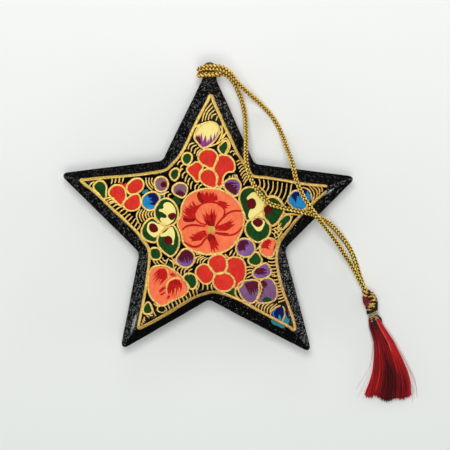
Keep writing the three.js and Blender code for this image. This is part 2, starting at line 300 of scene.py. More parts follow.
def makeBrushGroup():   # streaks that a loaded brush leaves in one colour of paint
    look = {"warpScale": 260.0, "warp": 0.003, "turn": 0.9, "stretch": (1.0, 0.3, 1.0), "streakScale": 1500.0,
            "cloudScale": 330.0, "cloudShare": 0.4, "thickAt": 0.34, "thinAt": 0.66,
            "smooth": 0.42, "rough": 0.58}
    group, inside, outside = newGroup("brushwork", {"Vector": "Vector", "Thick": "Color", "Thin": "Color"},
                                      {"Color": "Color", "Height": "Float", "Roughness": "Float"})
    link = group.links.new
    warp = addNode(group, "ShaderNodeTexNoise", Scale=look["warpScale"], Detail=2.0)
    shift = addNode(group, "ShaderNodeVectorMath", {"operation": "SCALE"}, Scale=look["warp"])
    moved = addNode(group, "ShaderNodeVectorMath", {"operation": "ADD"})
    stretch = addNode(group, "ShaderNodeMapping", Rotation=(0.0, 0.0, look["turn"]), Scale=look["stretch"])
    streaks = addNode(group, "ShaderNodeTexNoise", Scale=look["streakScale"], Detail=3.0, Roughness=0.55)
    cloud = addNode(group, "ShaderNodeTexNoise", Scale=look["cloudScale"], Detail=2.0)
    blend = addNode(group, "ShaderNodeMix", {"data_type": "FLOAT"}, Factor=look["cloudShare"])
    shine = addNode(group, "ShaderNodeMapRange", To_Min=look["smooth"], To_Max=look["rough"])
    link(inside["Vector"], warp.inputs["Vector"])
    link(warp.outputs["Color"], shift.inputs[0])
    link(inside["Vector"], moved.inputs[0])
    link(shift.outputs[0], moved.inputs[1])
    link(moved.outputs[0], stretch.inputs["Vector"])
    link(stretch.outputs[0], streaks.inputs["Vector"])
    link(inside["Vector"], cloud.inputs["Vector"])
    link(streaks.outputs["Fac"], blend.inputs["A"])
    link(cloud.outputs["Fac"], blend.inputs["B"])
    thinness = shareOf(group, blend.outputs["Result"], look["thickAt"], look["thinAt"])
    link(mixed(group, thinness, inside["Thick"], inside["Thin"]), outside["Color"])
    link(streaks.outputs["Fac"], outside["Height"])
    link(streaks.outputs["Fac"], shine.inputs["Value"])
    link(shine.outputs["Result"], outside["Roughness"])
    return group


def makeFlakeGroup():   # grains of pigment, each turned its own way
    group, inside, outside = newGroup(
        "flakes", {"Vector": "Vector", "Normal": "Vector", "Scale": "Float", "Tilt": "Float"},
        {"Normal": "Vector", "Mask": "Float"})
    link = group.links.new
    cells = addNode(group, "ShaderNodeTexVoronoi")
    middle = addNode(group, "ShaderNodeVectorMath", {"operation": "SUBTRACT"})
    middle.inputs[1].default_value = (0.5, 0.5, 0.5)
    turned = addNode(group, "ShaderNodeVectorMath", {"operation": "SCALE"})
    total = addNode(group, "ShaderNodeVectorMath", {"operation": "ADD"})
    unit = addNode(group, "ShaderNodeVectorMath", {"operation": "NORMALIZE"})
    parts = addNode(group, "ShaderNodeSeparateXYZ")
    link(inside["Vector"], cells.inputs["Vector"])
    link(inside["Scale"], cells.inputs["Scale"])
    link(cells.outputs["Color"], middle.inputs[0])
    link(middle.outputs[0], turned.inputs[0])
    link(inside["Tilt"], turned.inputs["Scale"])
    link(turned.outputs[0], total.inputs[0])
    link(inside["Normal"], total.inputs[1])
    link(total.outputs[0], unit.inputs[0])
    link(unit.outputs[0], outside["Normal"])
    link(cells.outputs["Color"], parts.inputs[0])
    link(parts.outputs["X"], outside["Mask"])
    return group


flakeGroup = makeFlakeGroup()
grainGroup = makeGrainGroup()
brushGroup = makeBrushGroup()


def lacquerMaterial(name, tilt, shine, roughness):   # tilt: how far the grains are turned
    look = {"black": srgb(4, 4, 5), "bloom": srgb(12, 12, 14), "bloomFrom": 0.55, "flakeScale": 3300.0,
            "dustAndHighlight": srgb(112, 105, 90), "dustAndHighlightFrom": 0.0433, "dustAndHighlightTo": 0.0447, "rubbed": srgb(240, 240, 244),
            "gleams": [   # painted highlights: place, turn in degrees and size
                ((-0.0228, -0.036, 0.0075), 72.4, (0.0046, 0.0008, 0.004)),
                ((0.0375, 0.0044, 0.0088), 33.7, (0.0024, 0.0005, 0.004)),
            ]}
    material, tree, shader = newMaterial(name, Specular_IOR_Level=shine, Roughness=roughness)
    link = tree.links.new
    flakes = useGroup(tree, flakeGroup, Scale=look["flakeScale"], Tilt=tilt)
    link(tree.nodes.new("ShaderNodeNewGeometry").outputs["Normal"], flakes.inputs["Normal"])
    colour = ramp(tree, flakes.outputs["Mask"], [(look["bloomFrom"], look["black"]), (1.0, look["bloom"])])
    wornAndLit = shareOf(tree, placeParts(tree)["Y"], look["dustAndHighlightFrom"], look["dustAndHighlightTo"])
    colour = mixed(tree, wornAndLit, colour, look["dustAndHighlight"])   # the end of the hanging tip is painted pale grey-khaki, worn dusty lacquer with a painted highlight
    for middle, turn, size in look["gleams"]:   # painted highlights: the lower left and right tips are painted pale on one side
        spot = addNode(tree, "ShaderNodeMapping", {"vector_type": "TEXTURE"}, Location=middle,
                       Rotation=(0.0, 0.0, math.radians(turn)), Scale=size)
        away = addNode(tree, "ShaderNodeVectorMath", {"operation": "LENGTH"})
        patchy = addNode(tree, "ShaderNodeMath", {"operation": "MULTIPLY"})
        link(objectPlace(tree), spot.inputs["Vector"])
        link(spot.outputs[0], away.inputs[0])
        link(shareOf(tree, away.outputs["Value"], 1.0, 0.0, "SMOOTHSTEP"), patchy.inputs[0])
        link(flakes.outputs["Mask"], patchy.inputs[1])
        colour = mixed(tree, patchy.outputs[0], colour, look["rubbed"])
    link(colour, shader.inputs["Base Color"])
    link(flakes.outputs["Normal"], shader.inputs["Normal"])
    return material


def paintMaterial(name, thick, thin):
    look = {"gloss": 0.05, "bump": 0.5, "rise": 0.03}
    material, tree, shader = newMaterial(name, Specular_IOR_Level=look["gloss"])
    brush = useGroup(tree, brushGroup, Thick=thick, Thin=thin)
    tree.links.new(brush.outputs["Color"], shader.inputs["Base Color"])
    tree.links.new(brush.outputs["Roughness"], shader.inputs["Roughness"])
    addBump(tree, shader, brush.outputs["Height"], look["bump"], look["rise"])
    return material


def goldPaintMaterial():
    # the gold's lit tone and its painted-shade tone
    look = {"litGold": (srgb(228, 172, 64), srgb(255, 230, 122)),
            "shadedGold": (srgb(172, 124, 54), srgb(226, 184, 102)),
            "deepAt": 0.38, "brightAt": 0.62, "shadeFrom": -0.045, "shadeTo": 0.06, "grainScale": 1900.0,
            "spread": 0.8, "bump": 0.6, "rise": 0.04, "metallic": 0.25, "roughness": 0.42}
    material, tree, shader = newMaterial("gold_paint", Metallic=look["metallic"], Roughness=look["roughness"])
    grain = useGroup(tree, grainGroup, Scale=look["grainScale"], Spread=look["spread"])
    litGold, shadedGold = [ramp(tree, grain.outputs["Mask"], [(look["deepAt"], deep), (look["brightAt"], bright)])
                   for deep, bright in (look["litGold"], look["shadedGold"])]
    parts = placeParts(tree)
    slant = addNode(tree, "ShaderNodeMath", {"operation": "SUBTRACT"})   # painted shade, growing towards the lower right arm
    tree.links.new(parts["X"], slant.inputs[0])
    tree.links.new(parts["Y"], slant.inputs[1])
    share = shareOf(tree, slant.outputs[0], look["shadeFrom"], look["shadeTo"])
    tree.links.new(mixed(tree, share, litGold, shadedGold), shader.inputs["Base Color"])
    addBump(tree, shader, grain.outputs["Height"], look["bump"], look["rise"])
    return material


def yarnMaterial(name, bright, deep, metallic, roughness, scale=2600.0, tasselShade=None):
    look = {"spread": 0.6, "deepAt": 0.36, "brightAt": 0.62, "bump": 0.8, "rise": 0.06,
            "tasselShadeFrom": 0.038, "tasselShadeTo": -0.024, "tasselShadeGloss": 0.15}   # painted shade: darker towards the tassel
    material, tree, shader = newMaterial(name, Metallic=metallic, Roughness=roughness)
    grain = useGroup(tree, grainGroup, Scale=scale, Spread=look["spread"])
    colour = ramp(tree, grain.outputs["Mask"], [(look["deepAt"], deep), (look["brightAt"], bright)])
    if tasselShade:
        # painted shade: the yarn is darkened towards the tassel
        share = shareOf(tree, placeParts(tree)["Y"], look["tasselShadeFrom"], look["tasselShadeTo"])
        colour = mixed(tree, share, colour, tasselShade)
        shader.inputs["Specular IOR Level"].default_value = look["tasselShadeGloss"]
    tree.links.new(colour, shader.inputs["Base Color"])
    addBump(tree, shader, grain.outputs["Height"], look["bump"], look["rise"])
    return material


goldYarn = yarnMaterial("gold_yarn", srgb(255, 242, 124), srgb(238, 174, 50), 0.04, 0.28, scale=1100.0)
brownYarn = yarnMaterial("brown_yarn", srgb(152, 88, 26), srgb(80, 40, 10), 0.0, 0.5, tasselShade=srgb(32, 10, 4))
darkCore = yarnMaterial("dark_core", srgb(70, 40, 14), srgb(38, 20, 8), 0.0, 0.8)

# gold cord: two lengths that meet inside the bore and run to the tassel
cordPlan = {
    "diameter": 1.4, "step": 0.14, "braidPitch": 3.3, "braidRadius": 0.45, "weave": 0.1,
    "yarn": {1: 0.26, -1: 0.24}, "yarnSwell": 0.5, "flatter": 0.3, "core": 0.34, "coreEvery": 3, "strands": 3,
    "hitchMiddle": (0.455, 41.757, 5.0), "tipHalfWidth": 2.2, "bendSetback": 0.9,
    "frontSpread": {1: 1.2, -1: 1.05}, "dip": {1: 0.45, -1: 0.1}, "inBore": 1.0, "front": 3.845,
    "bendSteps": 6,
    "fuller": {"cord_outer": (0.1, 0.44), "cord_inner": (0.1, 0.1)},   # round the tip's back, over its front
    "swellFrom": 6.5, "swellTo": 10.0, "slimFrom": 12.0, "slimTo": 19.0,
    # dark yarns standing in for the shade between the two turns
    "gapShadeYarns": [(-2.7, 41.5, 7.3), (-2.0, 41.7, 8.2), (-0.6, 41.85, 8.45), (0.9, 41.85, 8.45),
                (2.2, 41.75, 8.35)],
    "gapShadeYarn": (0.34, 3, 1.6),   # radius, plies and pitch
    "boreMiddle": (0.455, 42.757, 5.0),   # where the two lengths meet
    "exits": {"cord_outer": (-1.745, 42.757, 5.0), "cord_inner": (2.655, 42.757, 5.0)},   # ends of the bore
    "tucked": {"cord_outer": (49.35, -27.2, 2.85), "cord_inner": (49.35, -27.2, 1.8)},   # in the knot
    "standsFor": {"cord_outer": ["cord_strand_outer", "cord_hitch"], "cord_inner": ["cord_strand_inner"]},
}
outerStrand = [
    (3.4, 42.85, 8.8), (5.1, 42.35, 8.5), (6.7, 41.2, 7.9), (8.4, 39.3, 7.0), (10.2, 37.4, 5.9),
    (12.9, 35.0, 4.2), (15.4, 32.9, 2.7), (17.7, 30.7, 1.6), (19.9, 28.2, 1.0), (21.7, 25.3, 1.2),
    (23.0, 22.4, 2.5), (24.0, 19.5, 4.6), (25.0, 16.6, 7.0), (25.8, 14.2, 8.9), (26.5, 11.5, 10.3),
    (27.4, 7.6, 11.2), (29.4, 3.1, 11.4), (31.3, 0.0, 11.4), (33.1, -2.4, 10.8), (34.9, -4.7, 9.6),
    (37.3, -7.6, 7.2), (39.9, -11.0, 5.3), (42.3, -14.6, 4.0), (44.3, -17.6, 3.3), (46.0, -20.6, 3.05),
    (47.5, -23.5, 3.05), (48.9, -26.05, 3.1),
]
innerStrand = [
    (3.2, 40.85, 4.7), (4.5, 41.2, 4.5), (5.9, 40.7, 4.4), (7.2, 39.55, 4.3), (8.3, 38.05, 4.1),
    (9.2, 36.2, 3.9), (10.3, 33.6, 3.5), (11.1, 30.8, 3.2), (11.5, 28.0, 3.4), (11.7, 24.9, 4.6),
    (11.8, 21.5, 6.7), (11.7, 18.2, 8.8), (11.7, 15.5, 9.9), (11.9, 12.8, 10.8), (13.3, 8.1, 11.2),
    (16.0, 3.7, 11.2), (19.0, 0.7, 11.2), (23.4, -0.65, 11.2), (27.8, -1.6, 11.2), (30.4, -2.2, 10.85),
    (32.7, -2.8, 9.1), (34.6, -3.7, 7.3), (36.5, -4.6, 5.5), (38.6, -6.1, 3.8), (41.2, -8.9, 2.2),
    (43.6, -12.1, 1.3), (45.2, -15.0, 0.95), (46.3, -18.0, 0.95), (47.2, -21.1, 1.15), (48.85, -26.0, 1.55),
]


def roundTurn():   # over the front of the tip and back through the bore, twice
    bend = cordPlan["front"] / 2
    run = cordPlan["tipHalfWidth"] - cordPlan["bendSetback"]
    inBore, steps = cordPlan["inBore"], cordPlan["bendSteps"]
    points = []
    for turn in (1, -1):
        spread, dip = cordPlan["frontSpread"][turn], cordPlan["dip"][turn]
        points += [(run, turn * spread, 2 * bend), (0, turn * spread, 2 * bend)]
        for i in range(steps + 1):
            angle = math.pi * (0.5 + i / steps)
            across = turn * (spread + (inBore - spread) * i / steps) - dip * math.sin(math.pi * i / steps)
            points.append((-run + bend * math.cos(angle), across, bend + bend * math.sin(angle)))
        points += [(0, turn * inBore, 0), (run, turn * inBore, 0)]
        if turn > 0:
            for i in range(1, steps):
                angle = math.pi * (i / steps - 0.5)
                across = inBore - (inBore + cordPlan["frontSpread"][-1]) * smoothRise(i / steps, 0, 1)
                points.append((run + bend * math.cos(angle), across, bend + bend * math.sin(angle)))
    return [Vector(p) + Vector(cordPlan["hitchMiddle"]) for p in points]


def braid(name, path, fuller):   # fuller: how much the braid spreads flat where it is drawn round the tip
    slim, full = fuller
    turn = 2 * math.pi * cordPlan["step"] / cordPlan["braidPitch"]
    frames = sideFrames(path)
    lines = {1: [], -1: []}   # gold yarns run one way, brown ones the other
    for way, yarns in lines.items():
        for strand in range(cordPlan["strands"]):
            points, radii = [], []
            for i, (place, (side, up)) in enumerate(zip(path, frames)):
                gone = i * cordPlan["step"]
                swell = slim + (full - slim) * smoothRise(gone, cordPlan["swellFrom"], cordPlan["swellTo"])
                swell *= 1 - smoothRise(gone, cordPlan["slimFrom"], cordPlan["slimTo"])
                angle = way * turn * i + math.pi * (2 * strand + (way < 0)) / cordPlan["strands"]
                rise = way * cordPlan["weave"] * math.sin(cordPlan["strands"] * turn * i)
                away = (side * math.cos(angle) + up * math.sin(angle)) * (cordPlan["braidRadius"] + rise) * mm
                points.append(place + away + Vector((away.x, away.y, away.z * cordPlan["flatter"])) * swell)
                radii.append(cordPlan["yarn"][way] * (1 + swell * cordPlan["yarnSwell"]) * mm)
            yarns.append((points, radii))
    corePath = path[::cordPlan["coreEvery"]]
    core = [(corePath, [cordPlan["core"] * mm] * len(corePath))]
    coreMesh = tubes(name + "_core", core, roundness=2)
    return [(tubes(name, lines[1]), 0), (tubes(name, lines[-1]), 1), (coreMesh, 2)]


def addCords():
    turns = roundTurn()
    firstTurn = turns[:len(turns) // 2]
    middle = turns.index(min(firstTurn, key=lambda p: (p - Vector(cordPlan["boreMiddle"])).length))
    towards = {
        "cord_outer": [*reversed(turns[:middle + 1]), *[Vector(p) for p in outerStrand]],
        "cord_inner": [*turns[middle:], *[Vector(p) for p in innerStrand]],
    }
    for name, points in towards.items():
        points.append(Vector(cordPlan["tucked"][name]))
        path = throughPoints([p * mm for p in points], cordPlan["step"] * mm)
        parts = braid(name, path, cordPlan["fuller"][name])
        if name == "cord_outer":   # painted shade: dark yarns laid in between the two turns, where their shade falls
            first, *others = twisted([Vector(p) for p in cordPlan["gapShadeYarns"]], *cordPlan["gapShadeYarn"])
            parts += [(tubes("gapShadeYarns", [first]), 1), (tubes("gapShadeYarns", others), 2)]
        piece = newPiece(name, joined(name, parts), "cord", "gold_cord", goldYarn, brownYarn, darkCore)
        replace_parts(piece, *cordPlan["standsFor"][name])


addCords()
print("cords braided")

# star body: rings of the outline stacked from the back to the front
star = {
    "hub": (1.1986, -4.9869), "armReach": 49.4, "notchReach": 23.9, "tipRound": 1.3, "notchRound": 2.4,
    "faceTipRound": 0.35, "roundSteps": 6, "seam": 5.0, "wave": 0.09, "waveScale": 160.0, "flatUpTo": 0.2,
    "longEdge": 6.0, "cuts": 9, "smoothAngle": 32.0, "flatNormal": 0.9995,
    "grainy": (0.75, 0.6, 0.17), "rubbed": (0.03, 0.06, 0.1),   # tilt of the grains, shine and roughness
    "corners": [   # bearing in degrees, mm beyond the average reach; tips and notches by turns
        (17.4, -2.1), (53.75, -1.5), (90.87, -0.45), (128.86, 0.6), (162.35, 0.5),
        (202.97, 0.6), (234.49, -0.2), (267.83, 0.2), (307.23, 2.1), (339.76, 0.2),
    ],
    "section": [   # inset from the rim and height over the seam
        (0.0, 0.0), (0.0, 0.55), (0.1, 0.64), (0.1, 0.72), (0.0, 0.82), (0.04, 1.0), (0.16, 1.2),
        (0.42, 1.5), (1.5, 2.6), (2.6, 3.73), (3.35, 4.5), (3.6, 4.76), (3.82, 4.93), (4.05, 5.0),
    ],
}
hangingTip = {
    "middle": 0.455, "end": 44.757, "root": 37.957, "half": 2.2, "roundShare": 0.998,
    "bore": 2.0, "boreAt": 41.757, "boreLength": 14.0, "boreSides": 40,
    "section": [(0.0, 0.0), (0.0, 1.0), (0.14, 1.36), (1.36, 2.6), (1.7, 2.845)],
}


def starCorners(inset):   # each corner moved inwards, with the length that its round takes up
    reach = [star["armReach"], star["notchReach"]]
    sharp = []
    for i, (bearing, beyond) in enumerate(star["corners"]):
        angle = math.radians(bearing)
        towards = Vector((math.cos(angle), math.sin(angle)))
        sharp.append(towards * (reach[i % 2] + beyond) + Vector(star["hub"]))
    moved = []
    for i, corner in enumerate(sharp):
        along = (corner - sharp[i - 1]).normalized()
        onward = (sharp[(i + 1) % len(sharp)] - corner).normalized()
        inwards = Vector((-along.y, along.x)) + Vector((-onward.y, onward.x))
        moved.append(corner + inwards * inset / (inwards.length_squared / 2))
    corners = []
    for i, corner in enumerate(moved):
        half = (moved[i - 1] - corner).angle(moved[(i + 1) % len(moved)] - corner) / 2
        radius = star["notchRound"] + inset
        if i % 2 == 0:
            radius = max(star["tipRound"] - inset, star["faceTipRound"])
        corners.append((corner.x, corner.y, radius / math.tan(half)))
    return corners


def tipCorners(inset):   # corners of the blunt hanging tip, with the same lengths
    left = hangingTip["middle"] - hangingTip["half"] + inset
    right = hangingTip["middle"] + hangingTip["half"] - inset
    end, root = hangingTip["end"] - inset, hangingTip["root"]
    trim = hangingTip["roundShare"] * (right - left) / 2
    return [(left, root, 0.0), (right, root, 0.0), (right, end, trim), (left, end, trim)]


def stackRings(corners, section):   # the outline at each inset and height, rounded and bridged to the next
    near = 1e-7
    half = [(inset, star["seam"] + rise) for inset, rise in section]
    rings = [(inset, 2 * star["seam"] - height) for inset, height in reversed(half[1:])] + half
    bm = bmesh.new()
    for inset, height in rings:
        outline = corners(inset)
        verts = [bm.verts.new((x * mm, y * mm, height * mm)) for x, y, trim in outline]
        bm.faces.new(verts)
        for vert, (x, y, trim) in zip(verts, outline):
            if trim > 0:
                bmesh.ops.bevel(bm, geom=[vert], offset=trim * mm, offset_type="OFFSET", profile=0.5,
                                segments=star["roundSteps"], affect="VERTICES", material=-1)
    heights = [height * mm for inset, height in rings]
    loops = [[e for e in bm.edges if all(abs(v.co.z - h) < near for v in e.verts)] for h in heights]
    between = [f for f in bm.faces if heights[0] + near < f.calc_center_median().z < heights[-1] - near]
    bmesh.ops.delete(bm, geom=between, context="FACES_ONLY")
    for lower, upper in zip(loops, loops[1:]):
        bmesh.ops.bridge_loops(bm, edges=lower + upper)
    bmesh.ops.recalc_face_normals(bm, faces=bm.faces)
    return bm


def starBody():
    bm = stackRings(starCorners, star["section"])
    longEdges = [e for e in bm.edges if e.calc_length() > star["longEdge"] * mm]
    bmesh.ops.subdivide_edges(bm, edges=longEdges, cuts=star["cuts"], use_grid_fill=True)
    low, high = star["flatUpTo"] * mm, (2 * star["seam"] - star["flatUpTo"]) * mm
    for vert in bm.verts:   # hand-rubbed unevenness, none on the two flat faces
        if low < vert.co.z < high:
            vert.co += noise.noise_vector(vert.co * star["waveScale"]) * star["wave"] * mm
    return meshOf(bm, "star_body")


def carve(target, tool, operation):
    modifier = target.modifiers.new(operation, "BOOLEAN")
    modifier.operation = operation
    modifier.solver = "EXACT"
    modifier.object = tool


def addStar():
    body = bpy.data.objects.new("star_rough", starBody())
    tipMesh = meshOf(stackRings(tipCorners, hangingTip["section"]), "tip_rough")
    tip = bpy.data.objects.new("tip_rough", tipMesh)
    bm = bmesh.new()
    bore = Matrix.Translation(Vector((hangingTip["middle"], hangingTip["boreAt"], star["seam"])) * mm)
    bore = bore @ Matrix.Rotation(math.pi / 2, 4, "Y")
    radius = hangingTip["bore"] * mm
    bmesh.ops.create_cone(bm, cap_ends=True, segments=hangingTip["boreSides"], radius1=radius, radius2=radius,
                          depth=hangingTip["boreLength"] * mm, matrix=bore)
    drill = bpy.data.objects.new("bore_rough", meshOf(bm, "bore_rough"))
    for helper in (body, tip, drill):
        scene.collection.objects.link(helper)
    carve(body, tip, "UNION")
    carve(body, drill, "DIFFERENCE")
    mesh = bpy.data.meshes.new_from_object(body.evaluated_get(bpy.context.evaluated_depsgraph_get()))
    for helper in (body, tip, drill):
        bpy.data.objects.remove(helper)
    mesh.materials.clear()
    mesh.shade_smooth()
    mesh.set_sharp_from_angle(angle=math.radians(star["smoothAngle"]))
    for polygon in mesh.polygons:   # the two faces are flat and rubbed smooth, the bevel is left grainy
        polygon.use_smooth = abs(polygon.normal.z) < star["flatNormal"]
        polygon.material_index = 0 if polygon.use_smooth else 1
    piece = newPiece("star_body", mesh, "star", "lacquer", lacquerMaterial("grainy_lacquer", *star["grainy"]),
                     lacquerMaterial("rubbed_lacquer", *star["rubbed"]))
    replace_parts(piece, "front_shell", "back_shell", "seam_strip")
    print("star body", len(mesh.polygons), "faces")


addStar()

# painting on the face: each region has a corner in mm, a unit in mm and places counted right and down
paint = {
    "face": 10.0, "thickness": 0.05, "sunk": 0.02, "level": 0.035, "shuffle": 0.000175,
    "ringAway": 0.28, "ring": 0.31, "line": 0.29, "hatch": 0.24, "border": 0.46, "flat": 0.24, "raised": 0.06,
    "unsteady": 0.05, "swing": (0.85, 1.15), "lineEnd": 0.7, "lineSides": 2, "curveSteps": 6,
    "strokeLevel": 2.0, "fanLevel": 2.4, "spotLevel": 4.0, "spotSteps": 8, "bendEvery": 0.9, "bendRounds": 3,
    "fanStep": 0.05, "fanLeast": 0.5, "hairOverlap": 0.62, "hairScatter": 0.25, "hairReach": (0.72, 1.05),
    "hairBow": 0.08, "hairFlat": 0.12, "hairWidths": (0.9, 1.0, 0.95, 0.8, 0.58, 0.32, 0.08),
    "dropFrom": 0.03,
    "colours": {   # thick paint, then thin
        "red": (srgb(232, 58, 40), srgb(206, 42, 32)),
        "coral": (srgb(255, 134, 90), srgb(246, 106, 64)),
        "flame": (srgb(212, 32, 24), srgb(176, 16, 14)),
        "crimson": (srgb(166, 18, 16), srgb(124, 8, 10)),
        "maroon": (srgb(108, 12, 14), srgb(82, 6, 8)),
        "cream": (srgb(255, 242, 160), srgb(246, 226, 124)),
        "green": (srgb(24, 80, 26), srgb(14, 54, 16)),
        "violet": (srgb(140, 100, 160), srgb(116, 80, 138)),
        "lilac": (srgb(136, 96, 136), srgb(112, 78, 116)),
        "mauve": (srgb(150, 112, 126), srgb(126, 90, 104)),
        "plum": (srgb(98, 20, 48), srgb(72, 12, 34)),
        "magenta": (srgb(164, 74, 148), srgb(128, 48, 118)),
        "blue": (srgb(36, 146, 204), srgb(24, 116, 178)),
        "navy": (srgb(12, 18, 96), srgb(8, 10, 66)),
        "teal": (srgb(52, 148, 158), srgb(36, 112, 128)),
        "ochre": (srgb(220, 186, 84), srgb(186, 148, 56)),
    },
}
topArm = {
    "corner": (-14.905, 46.828), "unit": 0.02078,
    "ringed": [
        ("cream", [(700, 1022), (780, 1020), (852, 1072), (868, 1140), (835, 1232), (770, 1312),
                   (700, 1362), (640, 1378), (580, 1322), (530, 1242), (545, 1160), (610, 1075)]),
        ("green", [(985, 1300), (1005, 1370), (985, 1430), (945, 1475), (900, 1440), (882, 1390),
                   (930, 1340)]),
    ],
    "feathers": [
        ("magenta", [(538, 1240), (560, 1200), (590, 1265), (622, 1165), (640, 1300), (684, 1200),
                     (700, 1318), (722, 1250), (735, 1312), (760, 1180), (784, 1285), (822, 1165),
                     (830, 1240), (862, 1140), (866, 1170), (840, 1245), (770, 1318), (700, 1364),
                     (640, 1378), (580, 1325), (535, 1255)]),
        ("plum", [(535, 1240), (548, 1195), (566, 1240), (588, 1190), (604, 1270), (620, 1330),
                  (590, 1325), (545, 1275)]),
    ],
    "lines": [
        [(495, 1110), (540, 1070), (625, 1030)], [(890, 1060), (925, 1130), (900, 1240), (845, 1330)],
        [(640, 1400), (760, 1362), (870, 1320), (990, 1245)],
        [(990, 1245), (1038, 1330), (1012, 1450), (962, 1500)],
        [(865, 915), (835, 985)], [(925, 1275), (958, 1205), (990, 1150)],
    ],
}
leftArm = {
    "corner": (-45.935, 12.695), "unit": 0.02078,
    "ringed": [
        ("green", [(520, 330), (560, 265), (620, 255), (680, 310), (685, 400), (660, 490), (590, 420)]),
        ("red", [(750, 420), (790, 340), (860, 315), (940, 350), (975, 440), (960, 530), (910, 590),
                 (850, 540), (790, 480)]),
        ("red", [(1010, 340), (1050, 270), (1150, 215), (1210, 240), (1240, 320), (1180, 390), (1080, 425),
                 (1020, 390)]),
        ("red", [(960, 580), (1020, 510), (1160, 450), (1195, 530), (1180, 620), (1080, 670), (1000, 650)]),
        ("blue", [(1232, 550), (1270, 470), (1350, 425), (1420, 420), (1478, 500), (1440, 590),
                  (1390, 655), (1320, 660), (1250, 610)]),
    ],
    "plain": [
        ("teal", [(1230, 430), (1300, 365), (1325, 385), (1260, 425)]),
        ("teal", [(1490, 430), (1530, 420), (1530, 480), (1500, 490)]),
        ("red", [(900, 258), (960, 288), (990, 270), (980, 330)]),
    ],
    "feathers": [
        ("navy", [(1300, 450), (1350, 425), (1420, 420), (1478, 500), (1440, 590), (1395, 600),
                  (1330, 580), (1410, 555), (1340, 520), (1390, 505), (1340, 475)]),
    ],
    "lines": [
        [(440, 320), (480, 270), (525, 250)], [(690, 510), (750, 482), (815, 500)],
        [(730, 565), (790, 545), (860, 575)],
    ],
}
